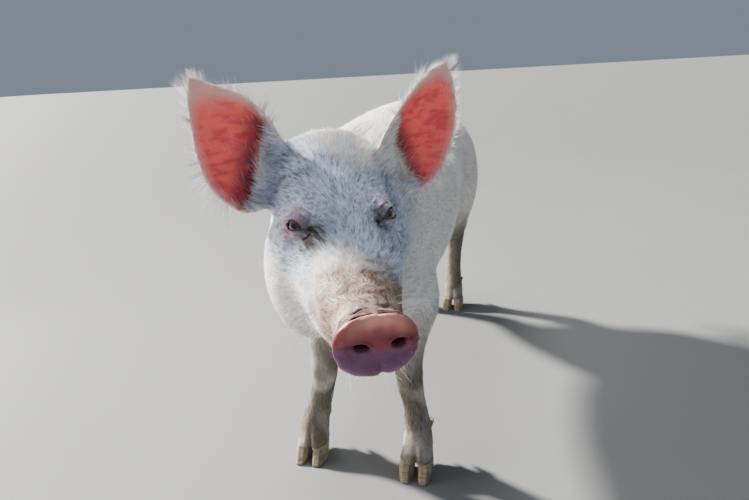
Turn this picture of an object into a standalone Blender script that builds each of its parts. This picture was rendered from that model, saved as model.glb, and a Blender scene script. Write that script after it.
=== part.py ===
"""A young white pig with upright ears, standing with its head turned to its left.

Metres, +Z up. The pig faces -Y and its left side is +X. The flesh is modelled whole, from lofted
tubes that are fused and smoothed, and is then parted with thin cuts into head, snout, jaw, neck,
trunk, ears, tail and legs. Eyes, hooves and dewclaws are pieces of their own.
"""

import math

import bmesh
import bpy
import numpy as np
from mathutils import Matrix, Vector

# The gap between neighbouring pieces, the shortest edge round a cut, and the voxels of the rough
# and the fine fusing.
GAP = 0.0003
RIM_EDGE = 0.0025
ROUGH_VOXEL = 0.004
FINE_VOXEL = 0.0025
FLESH_TRIANGLES = 4800
EAR_TRIANGLES = 360

# How far the thinning spares the head and the limbs, and where behind the snout that ends.
SPARE_HEAD = 0.5
SPARE_LIMBS = 0.04
SPARE_STRENGTH = 2e-6
HEAD_ENDS = 0.20
HEAD_FADES_OVER = 0.06

# The head: the middle of the snout's disc, where the head's own frame has its origin, and how the
# head is turned. In that frame -Y is where the muzzle points and +X is the pig's left.
SNOUT_TIP = Vector((0.091, -0.242, 0.291))
HEAD_YAW = math.radians(25)
HEAD_PITCH = math.radians(8)
HEAD_ROLL = math.radians(-1.5)

EYE_CENTRE = Vector((0.0298, 0.1210, 0.0317))
EYE_RADIUS = 0.0110

# Where each foot stands: across from the middle, and along the body.
FRONT_FEET = {"left": (0.067, -0.004), "right": (-0.061, 0.004)}
KNEES = {"left": 0.060, "right": -0.041}
HIND_FEET = {"left": (0.056, 0.464), "right": (-0.058, 0.450)}
SIDES = {"left": 1, "right": -1}

# Heights above the floor of the hoof's upper rim and of the cut at knee and hock, and the floor's
# own height while the pig is being shaped.
HOOF_TOP = 0.019
KNEE_CUT = 0.115
FLOOR = 0.010

MATERIALS = {
    "skin": ((0.80, 0.62, 0.56), 0.6),
    "ear": ((0.72, 0.34, 0.30), 0.6),
    "snout": ((0.62, 0.33, 0.34), 0.4),
    "hoof": ((0.36, 0.29, 0.20), 0.5),
    "eye": ((0.04, 0.03, 0.03), 0.1),
}


def clear_scene():
    for obj in list(bpy.data.objects):
        bpy.data.objects.remove(obj)


def material(name):
    """The Principled material of this name, made once."""
    made = bpy.data.materials.get(name)
    if made is None:
        colour, roughness = MATERIALS[name]
        made = bpy.data.materials.new(name)
        made.use_nodes = True
        shader = made.node_tree.nodes["Principled BSDF"]
        shader.inputs["Base Color"].default_value = (*colour, 1)
        shader.inputs["Roughness"].default_value = roughness
        made.diffuse_color = (*colour, 1)
    return made


def add_object(name, mesh):
    obj = bpy.data.objects.new(name, mesh)
    bpy.context.scene.collection.objects.link(obj)
    return obj


def head_frame():
    return (
        Matrix.Translation(SNOUT_TIP)
        @ Matrix.Rotation(HEAD_YAW, 4, "Z")
        @ Matrix.Rotation(HEAD_PITCH, 4, "X")
        @ Matrix.Rotation(HEAD_ROLL, 4, "Y")
    )


def smooth_rows(rows, steps):
    """A Catmull-Rom curve through rows of numbers, with this many steps between two rows."""
    rows = np.array(rows, float)
    padded = np.vstack([2 * rows[0] - rows[1], rows, 2 * rows[-1] - rows[-2]])
    found = []
    for i in range(len(rows) - 1):
        a, b, c, d = padded[i : i + 4]
        for t in np.linspace(0, 1, steps, endpoint=False):
            found.append(
                0.5
                * (
                    2 * b
                    + (c - a) * t
                    + (2 * a - 5 * b + 4 * c - d) * t**2
                    + (3 * b - a - 3 * c + d) * t**3
                )
            )
    found.append(rows[-1])
    return np.array(found)


def loft(name, rows, steps=5, around=32, matrix=None):
    """A closed tube through stations of (x, y, z, half width, up, down, squareness).

    A tube that runs along +Y has its up on +Z. One that runs down along -Z has its up on +Y, so
    its fifth number reaches backwards and its sixth forwards. Squareness 2 is an ellipse.
    """
    rows = smooth_rows(rows, steps)
    centres = rows[:, :3]
    tangents = np.gradient(centres, axis=0)
    mesh = bmesh.new()
    rings = []
    for centre, tangent, row in zip(centres, tangents, rows):
        along = Vector(tangent).normalized()
        across = Vector((1, 0, 0))
        across = (across - along * across.dot(along)).normalized()
        up = across.cross(along)
        half, rise, fall, square = row[3:7]
        ring = []
        for i in range(around):
            angle = 2 * math.pi * i / around
            c, s = math.cos(angle), math.sin(angle)
            x = half * math.copysign(abs(c) ** (2 / square), c)
            z = (rise if s > 0 else fall) * math.copysign(abs(s) ** (2 / square), s)
            ring.append(mesh.verts.new(Vector(centre) + across * x + up * z))
        rings.append(ring)
    for a, b in zip(rings, rings[1:]):
        for i in range(around):
            j = (i + 1) % around
            mesh.faces.new((a[i], a[j], b[j], b[i]))
    mesh.faces.new(rings[0][::-1])
    mesh.faces.new(rings[-1])
    bmesh.ops.recalc_face_normals(mesh, faces=mesh.faces)
    return finish_mesh(name, mesh, matrix)


def finish_mesh(name, mesh, matrix=None):
    if matrix is not None:
        mesh.transform(matrix)
    data = bpy.data.meshes.new(name)
    mesh.to_mesh(data)
    mesh.free()
    return add_object(name, data)


def ellipsoid(name, centre, radii, tilt=0.0, matrix=None):
    """A round mass. tilt turns it about X, so that its top leans back."""
    mesh = bmesh.new()
    bmesh.ops.create_uvsphere(mesh, u_segments=32, v_segments=20, radius=1)
    place = (
        Matrix.Translation(centre)
        @ Matrix.Rotation(-tilt, 4, "X")
        @ Matrix.Diagonal((*radii, 1))
    )
    mesh.transform(place)
    return finish_mesh(name, mesh, matrix)


def apply_modifiers(obj):
    """obj's mesh as its modifiers leave it, in world space."""
    bpy.context.view_layer.update()
    graph = bpy.context.evaluated_depsgraph_get()
    mesh = bpy.data.meshes.new_from_object(obj.evaluated_get(graph), depsgraph=graph)
    obj.modifiers.clear()
    obj.data = mesh


def fuse(name, pieces, voxel, rounds):
    """One closed mesh round all of these pieces, smoothed this many rounds."""
    joined = bmesh.new()
    for piece in pieces:
        joined.from_mesh(piece.data)
        bpy.data.objects.remove(piece)
    obj = finish_mesh(name, joined)
    remesh = obj.modifiers.new("fuse", "REMESH")
    remesh.mode = "VOXEL"
    remesh.voxel_size = voxel
    smooth = obj.modifiers.new("smooth", "SMOOTH")
    smooth.factor = 0.5
    smooth.iterations = rounds
    apply_modifiers(obj)
    return obj


# ---------------------------------------------------------------- shapes of the flesh


def head_mass():
    """Muzzle, brow and cheeks, in the head's frame: y runs back from the snout's disc."""
    rows = [
        (0, 0.003, 0.000, 0.0215, 0.0175, 0.0185, 2.2),
        (0, 0.012, 0.000, 0.0235, 0.0185, 0.0220, 2.2),
        (0, 0.030, 0.000, 0.0265, 0.0205, 0.0290, 2.3),
        (0, 0.055, 0.000, 0.0310, 0.0250, 0.0370, 2.3),
        (0, 0.082, -0.001, 0.0390, 0.0350, 0.0450, 2.2),
        (0, 0.110, -0.004, 0.0460, 0.0560, 0.0560, 2.2),
        (0, 0.135, -0.010, 0.0520, 0.0800, 0.0640, 2.2),
        (0, 0.160, -0.016, 0.0555, 0.1010, 0.0690, 2.2),
        (0, 0.185, -0.012, 0.0560, 0.1055, 0.0700, 2.2),
        (0, 0.210, -0.004, 0.0515, 0.0910, 0.0700, 2.1),
        (0, 0.235, 0.006, 0.0350, 0.0550, 0.0550, 2.0),
    ]
    return loft("head_mass", rows, matrix=head_frame())


def jaw_mass():
    """The lower jaw, from the chin back under the cheeks."""
    rows = [
        (0, 0.012, -0.021, 0.0130, 0.0080, 0.0110, 2.0),
        (0, 0.018, -0.022, 0.0205, 0.0100, 0.0155, 2.1),
        (0, 0.040, -0.024, 0.0250, 0.0120, 0.0175, 2.2),
        (0, 0.075, -0.028, 0.0310, 0.0160, 0.0230, 2.2),
        (0, 0.115, -0.036, 0.0400, 0.0200, 0.0300, 2.1),
        (0, 0.150, -0.044, 0.0430, 0.0240, 0.0340, 2.0),
        (0, 0.185, -0.044, 0.0350, 0.0200, 0.0280, 2.0),
    ]
    return loft("jaw_mass", rows, matrix=head_frame())


def jowls():
    """The full cheeks, of which the right one hangs a little further out."""
    left = ((0.0300, 0.144, -0.030), (0.0365, 0.050, 0.055))
    right = ((-0.0300, 0.146, -0.018), (0.0360, 0.054, 0.060))
    return [
        ellipsoid("jowl", centre, radii, matrix=head_frame()) for centre, radii in (left, right)
    ]


def poll():
    """The broad, flat top of the head between the ears."""
    return ellipsoid("poll", (0, 0.198, 0.057), (0.051, 0.030, 0.0315), matrix=head_frame())


def orbits():
    """The low swellings that the eyes sit in."""
    return [
        ellipsoid("orbit", (0.027 * m, 0.130, 0.030), (0.0180, 0.0195, 0.0180), matrix=head_frame())
        for m in SIDES.values()
    ]


def trunk_mass():
    """Neck, barrel and rump. The forequarters stand a little to the left of the hips, and the
    neck bends on to the left to meet the head."""
    rows = [
        (0.028, -0.115, 0.318, 0.050, 0.050, 0.060, 2.0),
        (0.023, -0.090, 0.312, 0.064, 0.068, 0.084, 2.1),
        (0.016, -0.055, 0.304, 0.072, 0.080, 0.096, 2.1),
        (0.011, -0.010, 0.298, 0.080, 0.089, 0.104, 2.1),
        (0.008, 0.050, 0.294, 0.089, 0.096, 0.106, 2.2),
        (0.006, 0.120, 0.291, 0.0935, 0.103, 0.106, 2.3),
        (0.004, 0.200, 0.291, 0.0935, 0.108, 0.108, 2.3),
        (0.002, 0.280, 0.292, 0.0880, 0.110, 0.106, 2.3),
        (0.001, 0.350, 0.295, 0.0860, 0.108, 0.098, 2.2),
        (0.000, 0.410, 0.299, 0.0850, 0.102, 0.086, 2.1),
        (0.000, 0.460, 0.300, 0.0800, 0.092, 0.076, 2.1),
        (0.000, 0.505, 0.299, 0.0650, 0.078, 0.070, 2.0),
        (0.000, 0.538, 0.296, 0.0420, 0.058, 0.050, 2.0),
        (0.000, 0.550, 0.294, 0.0180, 0.030, 0.026, 2.0),
    ]
    return loft("trunk_mass", rows, around=40)


def quarters(side):
    """The shoulder, the ham and the stifle's fold, which swell out of the trunk."""
    m = SIDES[side]
    return [
        ellipsoid("shoulder", (0.006 + 0.046 * m, 0.024, 0.290), (0.042, 0.072, 0.088), -0.25),
        ellipsoid("arm", (0.005 + 0.048 * m, 0.020, 0.240), (0.032, 0.046, 0.052), 0.5),
        ellipsoid("ham", (0.055 * m, 0.440, 0.266), (0.050, 0.098, 0.100), -0.12),
        ellipsoid("stifle", (0.058 * m, 0.396, 0.244), (0.032, 0.050, 0.052), 0.3),
        ellipsoid("seat", (0.032 * m, 0.496, 0.286), (0.036, 0.046, 0.074), 0.0),
    ]


def front_leg(side):
    """From the upper arm down to the hoof."""
    x, y = FRONT_FEET[side]
    knee = KNEES[side]
    m = SIDES[side]
    rows = [
        (0.005 + 0.050 * m, y + 0.036, 0.270, 0.034, 0.056, 0.052, 2.0),
        (0.005 + 0.053 * m, y + 0.032, 0.235, 0.0315, 0.052, 0.044, 2.0),
        (knee + 0.005 * m, y + 0.025, 0.205, 0.0290, 0.038, 0.033, 2.0),
        (knee + 0.002 * m, y + 0.016, 0.175, 0.0215, 0.026, 0.0240, 2.0),
        (knee, y + 0.008, 0.147, 0.0172, 0.0190, 0.0198, 2.1),
        (knee, y + 0.005, 0.124, 0.0163, 0.0172, 0.0188, 2.1),
        (0.7 * knee + 0.3 * x, y + 0.010, FLOOR + 0.086, 0.0142, 0.0160, 0.0146, 2.0),
        (0.2 * knee + 0.8 * x, y + 0.012, FLOOR + 0.054, 0.0155, 0.0188, 0.0154, 2.0),
        (x, y + 0.006, FLOOR + 0.034, 0.0180, 0.0200, 0.0190, 2.1),
        (x, y - 0.003, FLOOR + 0.018, 0.0190, 0.0190, 0.0200, 2.2),
        (x, y - 0.007, FLOOR + 0.009, 0.0185, 0.0180, 0.0190, 2.2),
    ]
    return [loft("front_leg", rows)]


def hind_leg(side):
    """The thigh, the shank with its hock, and the cannon down to the hoof."""
    x, y = HIND_FEET[side]
    m = SIDES[side]
    rows = [
        (0.056 * m, y - 0.044, 0.262, 0.036, 0.074, 0.058, 2.0),
        (0.059 * m, y - 0.034, 0.222, 0.0335, 0.062, 0.048, 2.0),
        (0.060 * m, y - 0.010, 0.186, 0.0270, 0.043, 0.036, 2.0),
        (0.059 * m, y + 0.016, 0.158, 0.0195, 0.0265, 0.0250, 2.0),
        (0.058 * m, y + 0.027, 0.136, 0.0163, 0.0205, 0.0205, 2.1),
        (x, y + 0.024, FLOOR + 0.101, 0.0143, 0.0163, 0.0165, 2.0),
        (x, y + 0.018, FLOOR + 0.074, 0.0134, 0.0152, 0.0146, 2.0),
        (x, y + 0.014, FLOOR + 0.052, 0.0148, 0.0183, 0.0153, 2.0),
        (x, y + 0.007, FLOOR + 0.034, 0.0178, 0.0195, 0.0185, 2.1),
        (x, y - 0.002, FLOOR + 0.018, 0.0185, 0.0185, 0.0195, 2.2),
        (x, y - 0.006, FLOOR + 0.009, 0.0180, 0.0175, 0.0185, 2.2),
    ]
    hock = ellipsoid("hock", (0.058 * m, y + 0.041, 0.157), (0.009, 0.009, 0.021), -0.35)
    return [loft("hind_leg", rows), hock]


# Each ear's two edges in the head's frame, from the root out to the shared tip. The left ear is
# turned a little further outwards than the right, whose numbers are mirrored.
EAR_INNER_EDGE = {
    "left": (
        (0.0387, 0.1800, 0.0621),
        (0.0452, 0.1760, 0.0814),
        (0.0569, 0.1750, 0.1039),
        (0.0708, 0.1800, 0.1199),
        (0.0912, 0.1920, 0.1338),
        (0.1145, 0.2010, 0.1425),
    ),
    "right": (
        (0.0312, 0.1880, 0.0707),
        (0.0345, 0.1900, 0.0900),
        (0.0452, 0.1960, 0.1103),
        (0.0601, 0.2010, 0.1253),
        (0.0815, 0.2040, 0.1360),
        (0.1090, 0.2040, 0.1485),
    ),
}
EAR_OUTER_EDGE = {
    "left": (
        (0.0505, 0.1720, 0.0300),
        (0.0815, 0.1820, 0.0226),
        (0.1051, 0.1900, 0.0365),
        (0.1190, 0.1980, 0.0600),
        (0.1254, 0.2020, 0.0900),
        (0.1222, 0.2020, 0.1199),
        (0.1145, 0.2010, 0.1425),
    ),
    "right": (
        (0.0505, 0.1680, 0.0300),
        (0.0751, 0.1700, 0.0247),
        (0.0987, 0.1760, 0.0407),
        (0.1104, 0.1840, 0.0643),
        (0.1136, 0.1920, 0.0942),
        (0.1126, 0.1990, 0.1242),
        (0.1090, 0.2040, 0.1485),
    ),
}
# The gristle behind each ear's root: its middle, mirrored on the right, and its radii.
EAR_ROOT = {
    "left": ((0.046, 0.193, 0.044), (0.019, 0.014, 0.021)),
    "right": ((0.041, 0.201, 0.050), (0.017, 0.014, 0.030)),
}
EAR_BACK = Vector((-0.30, 0.95, -0.10))
EAR_CUP_AT_ROOT = 0.028
EAR_CUP_AT_TIP = 0.002
EAR_THICKNESS = 0.0046


def ear(side):
    """A cupped leaf of even thickness, open forwards and outwards, on a thick root."""
    inner = smooth_rows(EAR_INNER_EDGE[side], 6)[:-1]
    outer = smooth_rows(EAR_OUTER_EDGE[side], 5)[:-1]
    across = 16
    mesh = bmesh.new()
    grid = []
    for i, (start, end) in enumerate(zip(inner, outer)):
        t = i / len(inner)
        cup = EAR_CUP_AT_ROOT + (EAR_CUP_AT_TIP - EAR_CUP_AT_ROOT) * t
        row = []
        for j in range(across + 1):
            s = j / across
            bow = math.sin(math.pi * s) ** 0.8
            point = Vector(start).lerp(Vector(end), s) + EAR_BACK * (cup * bow)
            row.append(mesh.verts.new((point.x * SIDES[side], point.y, point.z)))
        grid.append(row)
    for a, b in zip(grid, grid[1:]):
        for j in range(across):
            mesh.faces.new((a[j], a[j + 1], b[j + 1], b[j]))
    bmesh.ops.recalc_face_normals(mesh, faces=mesh.faces)
    bmesh.ops.solidify(mesh, geom=mesh.faces[:], thickness=EAR_THICKNESS)
    bmesh.ops.recalc_face_normals(mesh, faces=mesh.faces)
    leaf = finish_mesh("ear_leaf", mesh, head_frame())
    (x, y, z), radii = EAR_ROOT[side]
    root = ellipsoid("ear_root", (x * SIDES[side], y, z), radii, matrix=head_frame())
    return fuse("ear_" + side, [leaf, root], FINE_VOXEL, 4)


def snout_disc():
    """The nose's round pad, a little wider than the muzzle behind it."""
    rows = [
        (0.0005, -0.0032, 0.000, 0.0190, 0.0130, 0.0150, 2.3),
        (0.0005, -0.0022, 0.000, 0.0243, 0.0180, 0.0208, 2.3),
        (0.0005, 0.0015, 0.000, 0.0270, 0.0207, 0.0238, 2.3),
        (0.0005, 0.0060, 0.000, 0.0262, 0.0207, 0.0230, 2.3),
        (0, 0.0120, 0.000, 0.0210, 0.0175, 0.0190, 2.3),
    ]
    return loft("snout_disc", rows, steps=3, matrix=head_frame())


TAIL_ROOT = Vector((0, 0.520, 0.350))
TAIL_CURL_RADIUS = 0.019
TAIL_CURL = math.radians(420)
TAIL_DRIFT = 0.030
TAIL_RADIUS_AT_ROOT = 0.0105
TAIL_RADIUS_AT_TIP = 0.0035


def tail_path():
    """Out of the rump and once round a curl that drifts to the pig's left."""
    points = [TAIL_ROOT, TAIL_ROOT + Vector((0, 0.032, 0.004))]
    middle = TAIL_ROOT + Vector((0, 0.061, -0.010))
    steps = 11
    for i in range(steps + 1):
        turn = i / steps
        angle = math.radians(95) - TAIL_CURL * turn
        radius = TAIL_CURL_RADIUS * (1 - 0.25 * turn)
        points.append(
            middle
            + Vector((TAIL_DRIFT * turn, radius * math.cos(angle), radius * math.sin(angle)))
        )
    return points


def tail_mass():
    points = smooth_rows([tuple(p) for p in tail_path()], 4)
    mesh = bmesh.new()
    tangents = np.gradient(points, axis=0)
    around, rings = 12, []
    for i, (point, tangent) in enumerate(zip(points, tangents)):
        share = i / (len(points) - 1)
        radius = TAIL_RADIUS_AT_ROOT * (1 - share) + TAIL_RADIUS_AT_TIP * share
        along = Vector(tangent).normalized()
        across = Vector((1, 0, 0))
        across = (across - along * across.dot(along)).normalized()
        up = across.cross(along)
        ring = []
        for k in range(around):
            angle = 2 * math.pi * k / around
            spoke = across * math.cos(angle) + up * math.sin(angle)
            ring.append(mesh.verts.new(Vector(point) + spoke * radius))
        rings.append(ring)
    for a, b in zip(rings, rings[1:]):
        for k in range(around):
            j = (k + 1) % around
            mesh.faces.new((a[k], a[j], b[j], b[k]))
    mesh.faces.new(rings[0][::-1])
    mesh.faces.new(rings[-1])
    bmesh.ops.recalc_face_normals(mesh, faces=mesh.faces)
    return finish_mesh("tail_mass", mesh)


def whole_flesh():
    """Everything but ears, eyes and hooves as one closed mesh."""
    masses = [head_mass(), jaw_mass(), trunk_mass()]
    for side in SIDES:
        masses += quarters(side)
    torso = fuse("torso", masses, ROUGH_VOXEL, 50)
    masses = [torso, poll()] + jowls() + orbits()
    for side in SIDES:
        masses += front_leg(side) + hind_leg(side)
    body = fuse("body", masses, ROUGH_VOXEL, 10)
    return fuse("flesh", [body, snout_disc(), tail_mass()], FINE_VOXEL, 4)


# ---------------------------------------------------------------- parting the flesh


def weigh_head(obj):
    """Mark what thinning is to spare: the head most, then tail and feet."""
    group = obj.vertex_groups.new(name="spare")
    back = head_frame().inverted()
    for vertex in obj.data.vertices:
        behind = ((back @ vertex.co).y - HEAD_ENDS) / HEAD_FADES_OVER
        weight = SPARE_HEAD * (1.0 - min(1.0, max(0.0, behind)))
        if vertex.co.z < LEG_CUT or vertex.co.y > TAIL_CUT:
            weight = SPARE_LIMBS
        group.add([vertex.index], weight, "REPLACE")


def thin_out(obj, triangles):
    count = sum(len(face.vertices) - 2 for face in obj.data.polygons)
    thin = obj.modifiers.new("thin", "DECIMATE")
    thin.ratio = triangles / count
    thin.use_collapse_triangulate = True
    if obj.vertex_groups:
        thin.vertex_group = "spare"
        thin.invert_vertex_group = True
        thin.vertex_group_factor = SPARE_STRENGTH
    apply_modifiers(obj)
    obj.vertex_groups.clear()


def half_of(obj, name, point, normal):
    """The piece of obj behind a plane, closed with a flat face half the gap short of it."""
    mesh = bmesh.new()
    mesh.from_mesh(obj.data)
    normal = Vector(normal).normalized()
    everything = mesh.verts[:] + mesh.edges[:] + mesh.faces[:]
    bmesh.ops.bisect_plane(
        mesh,
        geom=everything,
        dist=1e-6,
        plane_co=Vector(point) - normal * (GAP / 2),
        plane_no=normal,
        clear_outer=True,
    )
    rim = {vertex for edge in mesh.edges if edge.is_boundary for vertex in edge.verts}
    bmesh.ops.remove_doubles(mesh, verts=list(rim), dist=RIM_EDGE)
    bmesh.ops.dissolve_degenerate(mesh, edges=mesh.edges, dist=1e-6)
    rim = [edge for edge in mesh.edges if edge.is_boundary]
    bmesh.ops.holes_fill(mesh, edges=rim, sides=0)
    bmesh.ops.triangulate(mesh, faces=[face for face in mesh.faces if len(face.verts) > 3])
    bmesh.ops.recalc_face_normals(mesh, faces=mesh.faces)
    return finish_mesh(name, mesh)


def part_at(obj, name, point, normal):
    """Cut obj at a plane. What lies beyond it comes back under the new name."""
    beyond = half_of(obj, name, point, -Vector(normal))
    kept = half_of(obj, obj.name + "_kept", point, normal)
    obj.data = kept.data
    bpy.data.objects.remove(kept)
    return beyond


def loose_pieces(obj):
    """obj's separate shells, each as an object of its own."""
    mesh = bmesh.new()
    mesh.from_mesh(obj.data)
    mesh.verts.ensure_lookup_table()
    left = set(mesh.verts)
    shells = []
    while left:
        front = [left.pop()]
        shell = set(front)
        while front:
            for edge in front.pop().link_edges:
                for vertex in edge.verts:
                    if vertex in left:
                        left.discard(vertex)
                        shell.add(vertex)
                        front.append(vertex)
        shells.append({vertex.index for vertex in shell})
    found = []
    for number, shell in enumerate(shells):
        copy = mesh.copy()
        copy.verts.ensure_lookup_table()
        others = [vertex for vertex in copy.verts if vertex.index not in shell]
        bmesh.ops.delete(copy, geom=others, context="VERTS")
        found.append(finish_mesh(f"{obj.name}_{number}", copy))
    mesh.free()
    bpy.data.objects.remove(obj)
    return found


def middle(obj):
    points = [vertex.co for vertex in obj.data.vertices]
    return sum(points, Vector()) / len(points)


def in_head(point):
    return head_frame() @ Vector(point)


def along_head(normal):
    return head_frame().to_3x3() @ Vector(normal)


LEG_CUT = 0.176
TAIL_CUT = 0.554
# Planes as (point, normal): the first two in the head's frame, the rest in the pig's own.
SNOUT_PLANE = ((0, 0.0085, 0), (0, -1, 0))
JAW_PLANE = ((0, 0.012, -0.0215), (0, -0.250, -0.968))
NAPE_PLANE = ((0.020, -0.078, 0.310), (0.22, -0.89, 0.386))
WITHERS_PLANE = ((0, -0.035, 0.290), (0, -0.936, 0.351))
SHOULDER_PLANE = ((0, 0.110, 0), (0, -1, 0))
FLANK_PLANE = ((0, 0.350, 0), (0, 1, 0))


def part_head(flesh):
    """Head, snout and jaw, cut off the front of the flesh."""
    head = part_at(flesh, "head", *NAPE_PLANE)
    point, normal = SNOUT_PLANE
    part_at(head, "snout", in_head(point), along_head(normal))
    point, normal = JAW_PLANE
    part_at(head, "jaw", in_head(point), along_head(normal))


def feet():
    """The name of each foot with where it stands."""
    for side in SIDES:
        yield "front_" + side, FRONT_FEET[side]
        yield "hind_" + side, HIND_FEET[side]


def part_legs(flesh):
    """The four legs below the trunk, each cut at the knee or the hock."""
    below = part_at(flesh, "legs", (0, 0, LEG_CUT), (0, 0, -1))
    for leg in loose_pieces(below):
        here = middle(leg)
        name = min(feet(), key=lambda foot: (Vector(foot[1]) - here.xy).length)[0]
        leg.name = name + "_shank"
        cannon = part_at(leg, name + "_cannon", (0, 0, FLOOR + KNEE_CUT), (0, 0, -1))
        part_at(cannon, "sole", (0, 0, FLOOR + HOOF_TOP + GAP / 2), (0, 0, -1))
        bpy.data.objects.remove(bpy.data.objects["sole"])


def part_flesh(flesh):
    part_head(flesh)
    part_legs(flesh)
    part_at(flesh, "tail", (0, TAIL_CUT, 0), (0, 1, 0))
    part_at(flesh, "neck", *WITHERS_PLANE)
    part_at(flesh, "shoulders", *SHOULDER_PLANE)
    part_at(flesh, "hindquarters", *FLANK_PLANE)
    flesh.name = "barrel"


# ---------------------------------------------------------------- eyes and feet


def carve(obj, cutter):
    """Take the cutter's shape out of obj."""
    cutter.hide_render = True
    cutter.display_type = "WIRE"
    cut = obj.modifiers.new("carve", "BOOLEAN")
    cut.operation = "DIFFERENCE"
    cut.solver = "EXACT"
    cut.object = cutter
    apply_modifiers(obj)
    bpy.data.objects.remove(cutter)


def swollen(obj, by):
    """A copy of obj that is this much thicker all over."""
    mesh = bmesh.new()
    mesh.from_mesh(obj.data)
    mesh.normal_update()
    moves = [vertex.normal * by for vertex in mesh.verts]
    for vertex, move in zip(mesh.verts, moves):
        vertex.co += move
    return finish_mesh("swollen", mesh)


def add_ears(flesh):
    """Each ear, hollowed at its root so that it sits on the head with the gap between."""
    for side in SIDES:
        leaf = ear(side)
        thin_out(leaf, EAR_TRIANGLES)
        carve(leaf, swollen(flesh, 1.5 * GAP))
        shells = sorted(loose_pieces(leaf), key=lambda shell: len(shell.data.vertices))
        for scrap in shells[:-1]:
            bpy.data.objects.remove(scrap)
        shells[-1].name = "ear_" + side


def ball(name, centre, radius):
    mesh = bmesh.new()
    bmesh.ops.create_uvsphere(mesh, u_segments=12, v_segments=7, radius=radius)
    bmesh.ops.triangulate(mesh, faces=mesh.faces)
    mesh.transform(Matrix.Translation(centre))
    return finish_mesh(name, mesh)


def add_eyes():
    """Each eyeball in a socket that is the gap wider all round."""
    head = bpy.data.objects["head"]
    for side, m in SIDES.items():
        x, y, z = EYE_CENTRE
        centre = in_head((x * m, y, z))
        carve(head, ball("socket", centre, EYE_RADIUS + 2 * GAP))
        ball("eye_" + side, centre, EYE_RADIUS)


HOOF_SPREAD = 0.0103
HOOF_SIDES = 10
HOOF_ROWS = (
    # height, how far its middle stands ahead of the foot's, half width, half length
    (0.000, 0.0135, 0.0085, 0.0165),
    (0.002, 0.0130, 0.0092, 0.0172),
    (0.010, 0.0085, 0.0095, 0.0162),
    (HOOF_TOP, 0.0035, 0.0090, 0.0145),
)


def hoof(name, x, y, m):
    """One toe's hoof: flat below, pointed in front, its inner wall nearly straight."""
    mesh = bmesh.new()
    rings = []
    for z, ahead, half, length in HOOF_ROWS:
        ring = []
        for i in range(HOOF_SIDES):
            angle = 2 * math.pi * i / HOOF_SIDES
            c, s = math.cos(angle), math.sin(angle)
            inner = c * m < 0
            wide = half * (0.92 if inner else 1.0)
            nose = 1.12 if s < 0 else 0.85
            across = math.copysign(abs(c) ** (0.7 if inner else 0.9), c)
            point = (x + wide * across, y - ahead + length * nose * s, FLOOR + z)
            ring.append(mesh.verts.new(point))
        rings.append(ring)
    for a, b in zip(rings, rings[1:]):
        for i in range(HOOF_SIDES):
            j = (i + 1) % HOOF_SIDES
            mesh.faces.new((a[i], a[j], b[j], b[i]))
    mesh.faces.new(rings[0][::-1])
    mesh.faces.new(rings[-1])
    bmesh.ops.recalc_face_normals(mesh, faces=mesh.faces)
    return finish_mesh(name, mesh)


DEWCLAW_SPREAD = 0.0105
DEWCLAW_BEHIND = 0.0275
DEWCLAW_HEIGHT = 0.040
DEWCLAW_LENGTH = 0.0150
DEWCLAW_LEAN = math.radians(24)


def dewclaw(name, x, y, grow=0.0):
    """A small blunt claw behind the fetlock, pointing down and back."""
    mesh = bmesh.new()
    bmesh.ops.create_cone(
        mesh,
        cap_ends=True,
        segments=7,
        radius1=0.0022 + grow,
        radius2=0.0062 + grow,
        depth=DEWCLAW_LENGTH + 2 * grow,
    )
    lean = Matrix.Rotation(DEWCLAW_LEAN, 4, "X")
    mesh.transform(Matrix.Translation((x, y, FLOOR + DEWCLAW_HEIGHT)) @ lean)
    return finish_mesh(name, mesh)


def add_feet():
    """Two hooves under every foot and two dewclaws behind it."""
    for name, (x, y) in feet():
        for toe, m in (("outer", 1), ("inner", -1)):
            out = m if x > 0 else -m
            hoof(f"{name}_hoof_{toe}", x + HOOF_SPREAD * out, y, out)
            at = (x + DEWCLAW_SPREAD * out, y + DEWCLAW_BEHIND)
            carve(bpy.data.objects[name + "_cannon"], dewclaw("pit", *at, grow=GAP))
            dewclaw(f"{name}_dewclaw_{toe}", *at)


# ---------------------------------------------------------------- finishing


def material_for(name):
    for word, use in (("hoof", "hoof"), ("dewclaw", "hoof"), ("eye", "eye"), ("ear_", "ear")):
        if word in name:
            return material(use)
    return material("snout" if name == "snout" else "skin")


def settle():
    """Give every piece its material and its own place, with the whole pig's origin under it."""
    pieces = list(bpy.data.objects)
    low = Vector([min(v.co[k] for p in pieces for v in p.data.vertices) for k in range(3)])
    high = Vector([max(v.co[k] for p in pieces for v in p.data.vertices) for k in range(3)])
    shift = Vector((-(low.x + high.x) / 2, -(low.y + high.y) / 2, -low.z))
    for piece in pieces:
        centre = middle(piece)
        piece.data.transform(Matrix.Translation(-centre))
        piece.location = centre + shift
        piece.data.materials.clear()
        piece.data.materials.append(material_for(piece.name))
        piece.data.polygons.foreach_set("use_smooth", [True] * len(piece.data.polygons))
        piece.data.set_sharp_from_angle(angle=math.radians(45))


def build():
    clear_scene()
    flesh = whole_flesh()
    weigh_head(flesh)
    thin_out(flesh, FLESH_TRIANGLES)
    add_ears(flesh)
    part_flesh(flesh)
    add_eyes()
    add_feet()
    settle()


build()
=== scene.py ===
"""Looks of a young white pig that stands with its head turned to its left.

Metres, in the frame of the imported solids: +Z is up, the pig faces -Y and its left is +X. One skin
is grown over the solids of flesh and stands for them all. Its eyes and hooves are pieces of their
own. The coat is made of thin blades of mesh that lie along the skin.
"""

import math

import bmesh
import bpy
import numpy as np
from mathutils import Matrix, Vector
from mathutils.bvhtree import BVHTree
from mathutils.kdtree import KDTree


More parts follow.
